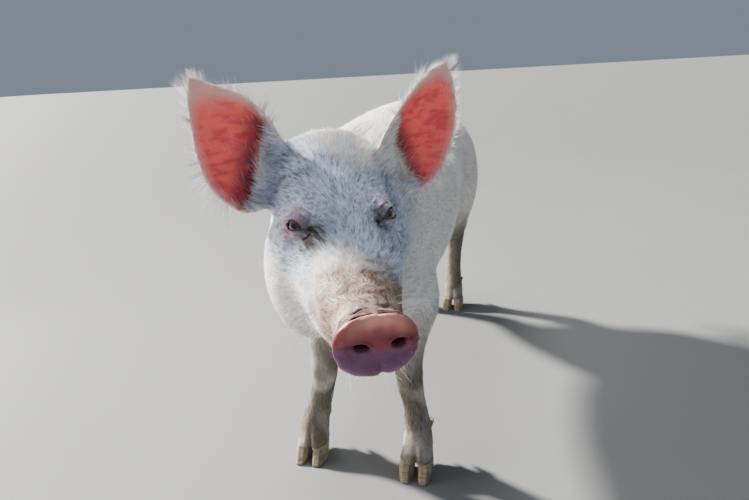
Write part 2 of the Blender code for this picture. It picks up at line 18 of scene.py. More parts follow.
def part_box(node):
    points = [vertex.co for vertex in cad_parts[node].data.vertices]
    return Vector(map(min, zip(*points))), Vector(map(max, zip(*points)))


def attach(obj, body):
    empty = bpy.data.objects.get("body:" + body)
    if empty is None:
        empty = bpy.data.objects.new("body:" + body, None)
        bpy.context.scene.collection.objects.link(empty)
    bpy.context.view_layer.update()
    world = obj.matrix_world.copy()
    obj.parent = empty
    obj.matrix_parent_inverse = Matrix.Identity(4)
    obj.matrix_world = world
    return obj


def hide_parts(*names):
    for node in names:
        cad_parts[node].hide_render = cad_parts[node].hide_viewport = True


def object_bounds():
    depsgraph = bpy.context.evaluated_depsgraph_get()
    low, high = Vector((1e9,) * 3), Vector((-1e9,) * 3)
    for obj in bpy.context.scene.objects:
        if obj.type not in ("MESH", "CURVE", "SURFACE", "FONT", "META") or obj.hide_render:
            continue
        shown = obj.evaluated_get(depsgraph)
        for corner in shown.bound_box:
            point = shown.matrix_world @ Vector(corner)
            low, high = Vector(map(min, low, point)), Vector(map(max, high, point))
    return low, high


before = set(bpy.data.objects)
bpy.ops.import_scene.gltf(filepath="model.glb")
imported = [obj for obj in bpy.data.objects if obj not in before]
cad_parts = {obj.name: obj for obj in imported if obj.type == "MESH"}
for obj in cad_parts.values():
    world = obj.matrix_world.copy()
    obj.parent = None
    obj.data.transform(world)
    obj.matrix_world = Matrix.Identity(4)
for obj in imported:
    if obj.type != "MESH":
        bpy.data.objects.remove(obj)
CAD_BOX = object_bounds()

# The head's own frame: its origin is the middle of the snout's disc, -Y is where the muzzle
# points and +X is the pig's left.
HEAD_PLACE = (0.0816, -0.4183, 0.2810)
HEAD = (
    Matrix.Translation(HEAD_PLACE)
    @ Matrix.Rotation(math.radians(25), 4, "Z")
    @ Matrix.Rotation(math.radians(8), 4, "X")
    @ Matrix.Rotation(math.radians(-1.5), 4, "Y")
)
HEAD_TURN = np.array(HEAD.to_3x3())
SIDES = {"left": 1, "right": -1}


def in_head(points):
    """World points, as seen in the head's frame."""
    return (points - np.array(HEAD_PLACE)) @ HEAD_TURN


def from_head(points):
    """Points of the head's frame, in the world."""
    return points @ HEAD_TURN.T + np.array(HEAD_PLACE)


def mirrored(place, m):
    """A place or a way on the head's left, or its mirror image if m is -1."""
    return np.array(place) * (m, 1, 1)


# ---- small helpers


def unit(vectors):
    """Each vector at a length of 1."""
    length = np.linalg.norm(vectors, axis=-1, keepdims=True)
    return vectors / np.maximum(length, 1e-12)


def ramp(values, low, high):
    """0 below low, 1 above high and smooth between. It falls if high is under low."""
    t = np.clip((values - low) / (high - low), 0, 1)
    return t * t * (3 - 2 * t)


def bell(values, width):
    """1 at 0, falling away to nearly 0 beyond twice the width."""
    return np.exp(-((values / width) ** 2))


def blob(points, centre, radii):
    """1 at the centre, falling away to 0 beyond about twice the radii."""
    return np.exp(-((((points - np.array(centre)) / np.array(radii)) ** 2).sum(1)))


def soft_max(a, b, softness):
    """The larger of the two, with a rounded change from one to the other."""
    return 0.5 * (a + b + np.sqrt((a - b) ** 2 + softness**2))


def waves(points, size, seed):
    """Smooth random values between about -1 and 1, with features of about this size."""
    rng = np.random.default_rng(seed)
    total = np.zeros(len(points))
    for _ in range(10):
        way = unit(rng.normal(size=3))
        turn = rng.uniform(0, 2 * math.pi)
        pitch = 2 * math.pi / (size * rng.uniform(0.7, 1.6))
        total += np.sin(points @ way * pitch + turn)
    return total / 3.2


def add_object(name, mesh):
    obj = bpy.data.objects.new(name, mesh)
    bpy.context.scene.collection.objects.link(obj)
    return obj


def baked(mesh, name):
    """A finished bmesh as mesh data."""
    data = bpy.data.meshes.new(name)
    mesh.to_mesh(data)
    mesh.free()
    return data


def with_modifiers(obj):
    """An object's mesh with its modifiers applied. The object itself goes."""
    graph = bpy.context.evaluated_depsgraph_get()
    mesh = bpy.data.meshes.new_from_object(obj.evaluated_get(graph), depsgraph=graph)
    bpy.data.objects.remove(obj)
    return mesh


def remeshed(data, voxel):
    """A mesh made anew from even triangles, with what overlaps fused."""
    obj = add_object("remeshing", data)
    remesh = obj.modifiers.new("even", "REMESH")
    remesh.mode = "VOXEL"
    remesh.voxel_size = voxel
    obj.modifiers.new("triangles", "TRIANGULATE")
    return mesh_arrays(with_modifiers(obj))


def set_attribute(mesh, name, values):
    kind, field = ("FLOAT_VECTOR", "vector") if values.ndim == 2 else ("FLOAT", "value")
    attribute = mesh.attributes.new(name, kind, "POINT")
    attribute.data.foreach_set(field, values.astype(np.float32).ravel())


def mesh_arrays(mesh):
    """A triangle mesh's points and its triangles."""
    points = np.empty(len(mesh.vertices) * 3)
    mesh.vertices.foreach_get("co", points)
    corners = np.empty(len(mesh.loops), np.int64)
    mesh.loops.foreach_get("vertex_index", corners)
    return points.reshape(-1, 3), corners.reshape(-1, 3)


def vertex_normals(points, triangles):
    """The normals at the points, each face counting by its size."""
    a, b, c = (points[triangles[:, k]] for k in range(3))
    face = np.cross(b - a, c - a)
    total = np.zeros_like(points)
    for axis in range(3):
        for k in range(3):
            weights = face[:, axis]
            total[:, axis] += np.bincount(triangles[:, k], weights, len(points))
    return unit(total)


def edges_of(triangles):
    """Each edge once, as its two points."""
    pairs = np.vstack([triangles[:, [0, 1]], triangles[:, [1, 2]], triangles[:, [2, 0]]])
    pairs.sort(axis=1)
    return np.unique(pairs, axis=0)


def relax(points, edges, rounds, strength, back=-0.52):
    """Smooth in pairs of steps. The step back keeps the whole from shrinking."""
    strength = np.broadcast_to(strength, len(points))[:, None]
    count = np.bincount(edges.ravel(), minlength=len(points))[:, None]
    count = np.maximum(count, 1)
    for step in range(2 * rounds):
        mean = np.empty_like(points)
        for axis in range(3):
            ahead = np.bincount(edges[:, 0], points[edges[:, 1], axis], len(points))
            behind = np.bincount(edges[:, 1], points[edges[:, 0], axis], len(points))
            mean[:, axis] = ahead + behind
        move = mean / count - points
        points = points + move * strength * (0.5 if step % 2 == 0 else back)
    return points


# ---- camera, light and floor

CAMERA_PLACE = (0.1635, -0.7133, 0.4400)
CAMERA_AZIMUTH = math.radians(15)
CAMERA_PITCH = math.radians(17.8)
CAMERA_ROLL = math.radians(3.4)
CAMERA_LENS = 27.0
CAMERA_SENSOR = 36
# The sun stands to the pig's right and a little behind it, some 30 degrees up.
KEY_WAY = (0.79, -0.29, -0.50)
KEY_STRENGTH = 22.0
KEY_ANGLE = math.radians(5)
KEY_COLOUR = (1.0, 0.975, 0.94)
# Each soft light's place, the place it faces, its size, power and colour.
SOFT_LIGHTS = {
    "fill": ((1.1, -2.0, 1.2), (0.03, -0.15, 0.28), 1.8, 10, (0.70, 0.83, 1.0)),
    "top": ((-0.35, 0.55, 1.65), (0.05, -0.22, 0.33), 0.6, 26, (1.0, 0.99, 0.97)),
    "bounce": ((-0.95, -0.45, 0.12), (0.03, -0.30, 0.26), 0.9, 22, (1.0, 0.97, 0.93)),
}
SKY_COLOUR = (0.67, 0.80, 1.0, 1)
SKY_STRENGTH = 0.31
FLOOR_SIZE = 40
FLOOR_COLOURS = ((0.150, 0.151, 0.148), (0.170, 0.170, 0.166))


def aim(thing, way, roll=0.0):
    """Point a camera or a light along a way, and roll it about that way."""
    turn = Vector(way).to_track_quat("-Z", "Y")
    thing.rotation_mode = "QUATERNION"
    thing.rotation_quaternion = turn @ Matrix.Rotation(roll, 3, "Z").to_quaternion()


def add_camera():
    data = bpy.data.cameras.new("camera")
    data.sensor_width = CAMERA_SENSOR
    data.lens = CAMERA_LENS
    data.clip_start = 0.01
    camera = add_object("camera", data)
    camera.location = CAMERA_PLACE
    level = math.cos(CAMERA_PITCH)
    across = -math.sin(CAMERA_AZIMUTH) * level
    ahead = math.cos(CAMERA_AZIMUTH) * level
    aim(camera, (across, ahead, -math.sin(CAMERA_PITCH)), -CAMERA_ROLL)
    bpy.context.scene.camera = camera


def add_light(name, kind, power, colour, way):
    data = bpy.data.lights.new(name, kind)
    data.energy = power
    data.color = colour
    light = add_object(name, data)
    aim(light, way)
    return light


def add_lights():
    """A low sun, a reflector below it, a cool fill in front and a soft light over the back."""
    key = add_light("key", "SUN", KEY_STRENGTH, KEY_COLOUR, KEY_WAY)
    key.data.angle = KEY_ANGLE
    for name, (place, target, size, power, colour) in SOFT_LIGHTS.items():
        light = add_light(name, "AREA", power, colour, Vector(target) - Vector(place))
        light.location = place
        light.data.shape = "DISK"
        light.data.size = size
        # The reflector doesn't show in the wet eyes.
        light.visible_glossy = name != "bounce"
    world = bpy.data.worlds.new("studio")
    world.use_nodes = True
    background = world.node_tree.nodes["Background"]
    background.inputs["Color"].default_value = SKY_COLOUR
    background.inputs["Strength"].default_value = SKY_STRENGTH
    bpy.context.scene.world = world


def add_floor():
    mesh = bmesh.new()
    bmesh.ops.create_grid(mesh, x_segments=12, y_segments=12, size=FLOOR_SIZE)
    floor = add_object("floor", baked(mesh, "floor"))
    paint = Paint("studio_floor")
    paint.put("Base Color", paint.mix(paint.noise(3, 4), *FLOOR_COLOURS))
    paint.put("Roughness", 0.85)
    floor.data.materials.append(paint.material)


# ---- materials


class Paint:
    """Builds a colour up in layers inside one material."""

    def __init__(self, name):
        self.material = bpy.data.materials.new(name)
        self.material.use_nodes = True
        self.tree = self.material.node_tree
        self.shader = self.tree.nodes["Principled BSDF"]
        self.place = self.node("ShaderNodeTexCoord").outputs["Object"]

    def node(self, kind):
        return self.tree.nodes.new(kind)

    def fill(self, socket, value):
        """Set a socket to a number or a colour, or link another node's output to it."""
        if isinstance(value, bpy.types.NodeSocket):
            self.tree.links.new(value, socket)
        elif socket.type == "RGBA":
            socket.default_value = (*value, 1)
        else:
            socket.default_value = value

    def put(self, name, value):
        self.fill(self.shader.inputs[name], value)

    def attribute(self, name, output="Fac"):
        node = self.node("ShaderNodeAttribute")
        node.attribute_name = name
        return node.outputs[output]

    def noise(self, scale, detail, where=None, stretch=None):
        place = where or self.place
        if stretch:
            mapping = self.node("ShaderNodeMapping")
            self.fill(mapping.inputs["Scale"], stretch)
            self.fill(mapping.inputs["Vector"], place)
            place = mapping.outputs["Vector"]
        node = self.node("ShaderNodeTexNoise")
        settings = {"Scale": scale, "Detail": detail, "Roughness": 0.55, "Vector": place}
        for name, value in settings.items():
            self.fill(node.inputs[name], value)
        return node.outputs["Fac"]

    def remap(self, value, low, high, to_low=0.0, to_high=1.0):
        node = self.node("ShaderNodeMapRange")
        node.interpolation_type = "SMOOTHSTEP"
        names = ("Value", "From Min", "From Max", "To Min", "To Max")
        for name, number in zip(names, (value, low, high, to_low, to_high)):
            self.fill(node.inputs[name], number)
        return node.outputs["Result"]

    def patches(self, scale, detail, low, high, to_low=0.0, to_high=1.0, **kind):
        """Noise with soft edges between its low and its high parts."""
        return self.remap(self.noise(scale, detail, **kind), low, high, to_low, to_high)

    def maths(self, operation, a, b):
        node = self.node("ShaderNodeMath")
        node.operation = operation
        self.fill(node.inputs[0], a)
        self.fill(node.inputs[1], b)
        return node.outputs[0]

    def mix(self, share, a, b, blend="MIX"):
        """a and b, each a colour or a socket, mixed by share."""
        node = self.node("ShaderNodeMix")
        node.data_type = "RGBA"
        node.blend_type = blend
        sockets = [s for s in node.inputs if s.enabled and s.type in ("VALUE", "RGBA")]
        for socket, value in zip(sockets, (share, a, b)):
            self.fill(socket, value)
        return next(s for s in node.outputs if s.enabled)

    def over(self, mask, colour, above, strength=1.0):
        """A colour with another laid over it where the mask is."""
        share = self.attribute(mask)
        if strength < 1:
            share = self.maths("MULTIPLY", share, strength)
        return self.mix(share, colour, above)

    def bump(self, height, distance, strength, below=None):
        node = self.node("ShaderNodeBump")
        self.fill(node.inputs["Height"], height)
        self.fill(node.inputs["Distance"], distance)
        self.fill(node.inputs["Strength"], strength)
        if below:
            self.fill(node.inputs["Normal"], below)
        return node.outputs["Normal"]


# The skin's markings: mask, colour and strength.
SKIN_MARKINGS = (
    # Painted shade: the brow's skin between its hairs, blue grey as in shade and under the ear's
    # shadow.
    ("painted_brow_shade", (0.36, 0.37, 0.44), 0.85),
    ("tan", (0.50, 0.38, 0.30), 0.85),
    # Mud on the legs, laid on thicker as painted shade where the legs stand in shade.
    ("mud_and_painted_shade", (0.155, 0.128, 0.080), 0.92),
    ("lid", (0.23, 0.145, 0.20), 0.92),
    ("tear", (0.05, 0.03, 0.02), 0.95),
)
# How rough the skin is off the snout, and where each of the snout's masks is.
SKIN_ROUGHNESS = 0.62
SNOUT_ROUGHNESS = {"snout": 0.25, "fold_side": 0.55, "snout_rim": 0.45}
# The coat's markings: mask, the shades of hair between which the colour turns from dark to
# light, the two colours and the strength.
COAT_MARKINGS = (
    # Painted shade: the brow's hair in streaks of blue grey, as in shade and under the ear's
    # shadow.
    ("painted_brow_shade", (0.10, 0.66), (0.16, 0.19, 0.29), (0.68, 0.78, 0.94), 0.9),
    ("tan", (0.10, 0.66), (0.05, 0.035, 0.025), (0.31, 0.195, 0.130), 0.95),
    # Mud on the legs' hair, laid on thicker as painted shade where the legs stand in shade.
    ("mud_and_painted_shade", (0.05, 0.65), (0.035, 0.030, 0.018), (0.18, 0.155, 0.10), 0.95),
    ("tear", (0.15, 0.95), (0.003, 0.002, 0.0015), (0.042, 0.026, 0.019), 1.0),
)


def ear_colour(paint):
    """The ear's inside is red with blood, in streaks, brightened as a painted glow of light shining
    through it, with painted shade towards its root.
    """
    streaks = paint.patches(55, 4, 0.42, 0.66, stretch=(1.0, 1.0, 2.6))
    red = paint.mix(streaks, (1.0, 0.145, 0.120), (0.74, 0.070, 0.085))
    # Painted shade at the ear's root.
    red = paint.over("ear_root_shade", red, (0.17, 0.012, 0.02))
    return paint.over("ear_pale", red, (0.80, 0.42, 0.37))


def snout_colour(paint):
    """The snout's bare skin is orange pink above, purple below and brown in its folds, with a
    painted highlight along the top of its rolled rim.
    """
    patch = paint.patches(110, 4, 0.40, 0.65, 0.0, 0.5)
    top = paint.mix(patch, (0.24, 0.042, 0.048), (0.11, 0.021, 0.028))
    low = paint.mix(patch, (0.150, 0.056, 0.120), (0.080, 0.022, 0.048))
    wet = paint.over("snout_low", top, low)
    wet = paint.mix(paint.patches(420, 3, 0.50, 0.68, 0.0, 0.35), wet, (0.16, 0.04, 0.045))
    wet = paint.over("fold_side", wet, (0.085, 0.034, 0.024))
    # Painted highlight: the sunlit top of the rolled rim, glowing orange.
    return paint.over("snout_rim", wet, (1.0, 0.43, 0.31))


def skin_material():
    paint = Paint("pig_skin")
    colour = paint.mix(paint.patches(28, 4, 0.35, 0.7), (0.83, 0.60, 0.53), (0.88, 0.70, 0.63))
    for mask, marking, strength in SKIN_MARKINGS:
        colour = paint.over(mask, colour, marking, strength)
    # The ear's own red, brightened as a painted glow of light through the ear.
    colour = paint.over("ear_red_and_glow", colour, ear_colour(paint))
    colour = paint.over("snout", colour, snout_colour(paint))
    # Painted shade in the furrows behind the snout's rim.
    colour = paint.over("furrow_shade", colour, (0.032, 0.011, 0.009))
    # Painted shade in the nostrils, along the mouth's line and behind the eyes' openings.
    colour = paint.over("hole_shade", colour, (0.030, 0.008, 0.014))
    paint.put("Base Color", colour)
    rough = (SKIN_ROUGHNESS,) * 3
    for mask, value in SNOUT_ROUGHNESS.items():
        rough = paint.over(mask, rough, (value,) * 3)
    dry = paint.patches(160, 3, 0.3, 0.7, -0.06, 0.08)
    paint.put("Roughness", paint.maths("ADD", rough, dry))
    # Pores all over, and fine creases.
    normal = paint.bump(paint.noise(650, 3), 0.00035, 0.5)
    creases = paint.noise(170, 4, stretch=(1.0, 1.0, 2.2))
    paint.put("Normal", paint.bump(creases, 0.0009, 0.5, below=normal))
    paint.put("Subsurface Weight", 0.12)
    paint.put("Subsurface Radius", (0.004, 0.0015, 0.0008))
    paint.put("Subsurface Scale", 1.0)
    paint.put("Specular IOR Level", 0.3)
    return paint.material


def coat_material():
    paint = Paint("pig_coat")
    blotch = paint.patches(40, 3, 0.35, 0.7, where=paint.attribute("root", "Vector"))
    colour = paint.mix(blotch, (0.90, 0.87, 0.82), (0.93, 0.92, 0.90))
    tone = paint.attribute("shade")
    for mask, between, dark, light, strength in COAT_MARKINGS:
        marking = paint.mix(paint.remap(tone, *between), dark, light)
        colour = paint.over(mask, colour, marking, strength)
    # The hair inside the ears takes on the painted red glow of light through the ear.
    colour = paint.over("ear_red_and_glow", colour, (0.86, 0.55, 0.48), 0.6)
    shade = paint.remap(tone, 0.0, 0.8, 0.50, 1.06)
    grey = paint.node("ShaderNodeCombineColor")
    for socket in grey.inputs:
        paint.fill(socket, shade)
    paint.put("Base Color", paint.mix(1.0, colour, grey.outputs[0], "MULTIPLY"))
    paint.put("Roughness", 0.6)
    paint.put("Specular IOR Level", 0.15)
    paint.put("Normal", paint.bump(paint.noise(2500, 2), 0.0001, 0.3))
    return paint.material


# ---- the skin's first shape

NOT_FLESH = ("hoof", "dewclaw", "eye")
# How far each solid is swollen, which closes the cuts between them.
SEAM = 0.00025
SKIN_VOXEL = 0.002
# The height of the hooves' upper rims.
HOOF_TOP = 0.019
TRUNK_TRIANGLES = 70000
# The thinned part: behind this place in the head's frame, above this height and before the tail.
TRUNK_FROM_HEAD = 0.235
TRUNK_ABOVE = 0.05
TRUNK_BEFORE = 0.365
# An edge is split where it is this many times as long as wanted.
SPLIT_OVER = 1.45


def flesh_names():
    """The solids that the skin stands for."""
    return sorted(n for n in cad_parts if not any(word in n for word in NOT_FLESH))


def welded(name):
    """A solid's mesh with the vertices of neighbouring faces joined."""
    mesh = bmesh.new()
    mesh.from_mesh(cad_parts[name].data)
    bmesh.ops.remove_doubles(mesh, verts=mesh.verts, dist=1e-5)
    bmesh.ops.recalc_face_normals(mesh, faces=mesh.faces)
    mesh.normal_update()
    return mesh


def fused_flesh():
    """All the solids of flesh as one closed surface, with cuts and eye sockets filled in."""
    joined = bmesh.new()
    for name in flesh_names() + ["eye_left", "eye_right"]:
        shell = welded(name)
        moves = [vertex.normal * SEAM for vertex in shell.verts]
        for vertex, move in zip(shell.verts, moves):
            vertex.co += move
        data = baked(shell, name + "_shell")
        joined.from_mesh(data)
        bpy.data.meshes.remove(data)
    return remeshed(baked(joined, "fused"), SKIN_VOXEL)


def largest_island(points, triangles):
    """Leave out the small shells that lie inside the large one."""
    label = np.arange(len(points))
    edges = edges_of(triangles)
    while True:
        low = np.minimum(label[edges[:, 0]], label[edges[:, 1]])
        before = label.copy()
        np.minimum.at(label, edges[:, 0], low)
        np.minimum.at(label, edges[:, 1], low)
        label = label[label]
        if (label == before).all():
            break
    biggest = np.bincount(label).argmax()
    kept = triangles[label[triangles[:, 0]] == biggest]
    used = np.unique(kept)
    renumber = np.zeros(len(points), np.int64)
    renumber[used] = np.arange(len(used))
    return points[used], renumber[kept]


def make_mesh(name, points, triangles):
    """A smooth triangle mesh."""
    mesh = bpy.data.meshes.new(name)
    mesh.vertices.add(len(points))
    mesh.vertices.foreach_set("co", points.astype(np.float32).ravel())
    mesh.loops.add(triangles.size)
    mesh.loops.foreach_set("vertex_index", triangles.astype(np.int32).ravel())
    mesh.polygons.add(len(triangles))
    starts = np.arange(0, triangles.size, 3, dtype=np.int32)
    mesh.polygons.foreach_set("loop_start", starts)
    mesh.polygons.foreach_set("use_smooth", np.ones(len(triangles), bool))
    mesh.update(calc_edges=True)
    return mesh


def thin_trunk(points, triangles):
    """Fewer triangles on the trunk and upper legs, where the shape is broad."""
    obj = add_object("thinning", make_mesh("thinning", points, triangles))
    broad = (in_head(points)[:, 1] > TRUNK_FROM_HEAD) & (points[:, 2] > TRUNK_ABOVE)
    broad &= points[:, 1] < TRUNK_BEFORE
    group = obj.vertex_groups.new(name="broad")
    group.add([int(i) for i in np.flatnonzero(broad)], 1.0, "REPLACE")
    spared = int((~broad[triangles].all(1)).sum())
    thin = obj.modifiers.new("thin", "DECIMATE")
    thin.ratio = min(1.0, (spared + TRUNK_TRIANGLES) / len(triangles))
    thin.vertex_group = "broad"
    thin.use_collapse_triangulate = True
    return mesh_arrays(with_modifiers(obj))


def refined(points, triangles, wanted):
    """Split edges that are much longer than the length wanted where they are."""
    mesh = bmesh.new()
    data = make_mesh("refining", points, triangles)
    mesh.from_mesh(data)
    bpy.data.meshes.remove(data)
    for _ in range(3):
        mesh.verts.ensure_lookup_table()
        middles = np.array([(e.verts[0].co + e.verts[1].co) / 2 for e in mesh.edges])
        lengths = np.array([e.calc_length() for e in mesh.edges])
        long = lengths > SPLIT_OVER * wanted(middles)
        if not long.any():
            break
        chosen = [edge for edge, yes in zip(mesh.edges, long) if yes]
        bmesh.ops.subdivide_edges(mesh, edges=chosen, cuts=1, use_grid_fill=True)
        faces = [face for face in mesh.faces if len(face.verts) > 3]
        bmesh.ops.triangulate(mesh, faces=faces)
    return mesh_arrays(baked(mesh, "refined"))


BODY_EDGE, FACE_EDGE, FINE_EDGE, SNOUT_EDGE, LID_EDGE = 0.01, 0.0016, 0.0009, 0.0007, 0.00055


def wanted_length(points):
    """How long the skin's edges may be: short on the face, shortest on the snout and the lids."""
    head = in_head(points)
    y, z = head[:, 1], head[:, 2]
    length = np.full(len(points), BODY_EDGE)
    length[(y < 0.16) & (z > -0.05)] = FACE_EDGE
    for m in SIDES.values():
        near = np.linalg.norm(head - mirrored(EYE_CENTRE, m), axis=1)
        length[near < EYE_REACH] = FINE_EDGE
        length[near < 0.0165] = LID_EDGE
    length[y < 0.034] = FINE_EDGE
    length[(y < 0.022) & (z > 0)] = SNOUT_EDGE
    length[y < 0.002] = SNOUT_EDGE
    return length


# ---- the skin's modelling

EYE_CENTRE = (0.0298, 0.1210, 0.0317)
EYE_RADIUS = 0.0110
# How far from its middle the skin is modelled round each eye.
EYE_REACH = 0.026
EYE_OUTWARD = (0.75, -0.56, 0.35)
LID_THICKNESS = 0.0009
LID_SOFTNESS = 0.0012
EYE_HALF_LENGTH = 0.0094
EYE_UPPER = 0.0050
EYE_LOWER = 0.0027
EYE_TILT = math.radians(-3)
# How far the middle of the opening lies behind the eyeball's.
EYE_SHIFT = 0.0013
# How far the skin lies under the eyeball's surface inside the opening.
EYE_HOLLOW = 0.0022
# Folds along the opening's edge: distance outside it, width and height.
LID_ROLL = ((0.0008, 0.0007, 0.0004),)
UPPER_FOLDS = (
    (0.0042, 0.0008, -0.0011),
    (0.0062, 0.0014, 0.0006),
    (0.0083, 0.0006, -0.0004),
    (0.0105, 0.0006, -0.0003),
)
LOWER_FOLDS = (
    (0.0029, 0.0006, -0.0006),
    (0.0043, 0.0010, 0.0005),
    (0.0062, 0.0007, -0.0004),
)
# The brow's ridge, the trough below the inner corner and the corner itself: place along and up,
# how flat it is, width and height.
EYE_LUMPS = (
    (-0.0010, 0.0125, 0.8, 0.0055, 0.0018),
    (-0.0125, -0.0035, 1.0, 0.0042, -0.0016),
    (-0.0098, -0.0006, 1.0, 0.0014, -0.0009),
)


def eye_axes(m):
    """An eye's own axes: outward, towards the outer corner, and up, in the head's frame."""
    out = unit(mirrored(EYE_OUTWARD, m))
    back = unit(np.array((-out[1] * m, out[0] * m, 0)))
    up = unit(np.cross(back, out))
    if up[2] < 0:
        up = -up
    c, s = math.cos(EYE_TILT), math.sin(EYE_TILT)
    return out, c * back + s * up, c * up - s * back


def eye_place(head, m):
    """Each point's height, its place along the eye's length and its place upwards."""
    offset = head - mirrored(EYE_CENTRE, m)
    return [offset @ axis for axis in eye_axes(m)]


def opening_distance(along, up):
    """The distance outside the edge of the eye's opening, which is a lens of two arcs."""
    found = []
    along = along - EYE_SHIFT
    for reach, sign in ((EYE_UPPER, 1), (EYE_LOWER, -1)):
        radius = (EYE_HALF_LENGTH**2 + reach**2) / (2 * reach)
        found.append(np.hypot(along, up - sign * (reach - radius)) - radius)
    return np.maximum(*found)


def folds(distance, rows):
    """The height of folds that run side by side, each a bell across its own line."""
    return sum(height * bell(distance - place, width) for place, width, height in rows)


def shape_eye(head, m):
    """Lids that lie on the eyeball, with folds round them, and a hollow behind the opening."""
    height, along, up = eye_place(head, m)
    span = np.hypot(along, up)
    near = np.flatnonzero((height > 0) & (span < EYE_REACH))
    height, along, up, span = height[near], along[near], up[near], span[near]
    edge = opening_distance(along, up)
    ball = np.sqrt(np.maximum(EYE_RADIUS**2 - span**2, 0))
    lid = np.sqrt(np.maximum((EYE_RADIUS + LID_THICKNESS) ** 2 - span**2, 0))
    over = ramp(up, -0.001, 0.001)
    ends = ramp(np.abs(along), 0.0125, 0.007)
    outside = soft_max(height, lid, LID_SOFTNESS) + folds(edge, LID_ROLL)
    outside += (folds(edge, UPPER_FOLDS) * over + folds(edge, LOWER_FOLDS) * (1 - over)) * ends
    for a, b, flat, width, rise in EYE_LUMPS:
        outside += rise * bell(np.hypot(along - a, (up - b) / flat), width)
    hidden = ramp(edge, 0.0003, -0.0006)
    new = outside * (1 - hidden) + (ball - EYE_HOLLOW) * hidden
    head[near] += np.outer(new - height, eye_axes(m)[0])
    return head


# Half the width and half the height of the snout's disc.
SNOUT_HALF = (0.0245, 0.0205)
# How far the middle of the disc lies to the left of the head's.
SNOUT_MIDDLE = 0.0025
NOSTRIL_ACROSS = 0.0117
NOSTRIL_HEIGHT = 0.0012
NOSTRIL_HALF_WIDTH = 0.0052
NOSTRIL_HALF_HEIGHT = {1: 0.0037, -1: 0.0031}
NOSTRIL_DEPTH = 0.0095
# The nostrils lean outwards by about 20 degrees: the cosine and the sine.
NOSTRIL_LEAN = (0.94, 0.34)


def snout_shift(head):
    """How far to move the snout's skin along the head's Y, + being inwards."""
    y, z = head[:, 1], head[:, 2]
    x = head[:, 0] - SNOUT_MIDDLE * ramp(y, 0.03, 0.0)
    c, s = NOSTRIL_LEAN
    depth = np.zeros(len(head))
    for m in SIDES.values():
        dx, dz = x - m * NOSTRIL_ACROSS, z - NOSTRIL_HEIGHT
        across = dx * c + dz * s * m
        rise = dz * c - dx * s * m
        inside = np.hypot(across / NOSTRIL_HALF_WIDTH, rise / NOSTRIL_HALF_HEIGHT[m])
        hood = 0.0005 + 0.0009 * ramp(rise, 0, 0.003)
        depth += NOSTRIL_DEPTH * ramp(inside, 1.02, 0.50) - hood * bell(inside - 1.35, 0.28)
        slit = np.hypot((dx - m * 0.0062) / 0.0048, (dz - 0.0024) / 0.0011)
        depth += 0.0024 * bell(slit, 1.0)
    # The disc is hollow, with a cleft below and a swelling between the nostrils.
    spread = np.hypot(x / SNOUT_HALF[0], (z + 0.0008) / SNOUT_HALF[1])
    depth += 0.0013 * ramp(spread, 0.86, 0.35)
    depth += 0.0011 * bell(x, 0.0016) * ramp(z, -0.004, -0.013)
    depth -= 0.0006 * bell(x, 0.006) * bell(z + 0.001, 0.006)
    return depth * ramp(y, 0.0035, -0.0005)


# The folds behind the snout's rim: place behind the disc, width and depth.
FURROWS = (
    (0.0036, 0.0009, 0.0014),
    (0.0074, 0.0011, 0.0020),
    (0.0116, 0.0011, 0.0019),
    (0.0162, 0.0011, 0.0014),
)


def furrows(head):
    """The folds behind the snout's rim, deepest on top of its right: their depth."""
    x, y, z = head.T
    angle = np.arctan2(z, x)
    right = 0.30 + 0.70 * ramp(x, 0.012, -0.004)
    share = 0.15 + 0.85 * ramp(z, -0.006, 0.010) * right
    wander = 0.0009 * np.sin(3 * angle + 0.6) + 0.0007 * np.sin(7 * angle + 2.0)
    wander += 0.0004 * np.sin(17 * angle)
    depth = np.zeros(len(head))
    for k, (place, width, deep) in enumerate(FURROWS):
        broken = 0.45 + 0.55 * ramp(np.sin((4 + k) * angle + 2.1 * k), -0.5, 0.4)
        depth += deep * bell(y - place - wander, width) * broken
    return depth * share * ramp(y, 0.032, 0.022)


def snout_rim(head):
    """How far the snout's skin swells outwards: its rolled rim, less the furrows behind it."""
    x, y, z = head.T
    top = ramp(z, -0.006, 0.010)
    swell = 0.0009 * bell(y - 0.0008, 0.0018) * (0.5 + 0.5 * top)
    puffs = head + (0, 0.0017, 0)
    swell += 0.45 * furrows(puffs) - furrows(head)
    notch = bell(x - SNOUT_MIDDLE - 0.0015, 0.0030) * ramp(z, -0.012, -0.017)
    swell -= 0.0011 * notch * ramp(y, 0.008, 0.004)
    return swell * ramp(y, 0.032, 0.022)


# The mouth's line: place behind the disc and height.
MOUTH = ((0.010, -0.0232), (0.030, -0.0262), (0.055, -0.0300), (0.078, -0.0315), (0.090, -0.0285))
# The groove and the two lips: height over the line, width and height.
MOUTH_FOLDS = ((0.0, 0.0012, -0.0030), (-0.0042, 0.0028, 0.0009), (0.0040, 0.0026, 0.0007))
MOUTH_CORNER = (0.034, 0.089, -0.028)


def mouth_place(head):
    """Each point's height over the closed mouth's line, and 1 beside the line's length."""
    y, z = head[:, 1], head[:, 2]
    return z - np.interp(y, *zip(*MOUTH)), ramp(y, 0.006, 0.012) * ramp(y, 0.092, 0.084)


def mouth_swell(head):
    """The closed mouth along both sides of the muzzle, up to its corners."""
    over, along = mouth_place(head)
    swell = folds(over, MOUTH_FOLDS) * along
    for m in SIDES.values():
        swell -= 0.0012 * blob(head, mirrored(MOUTH_CORNER, m), (0.006, 0.005, 0.005))
    return swell


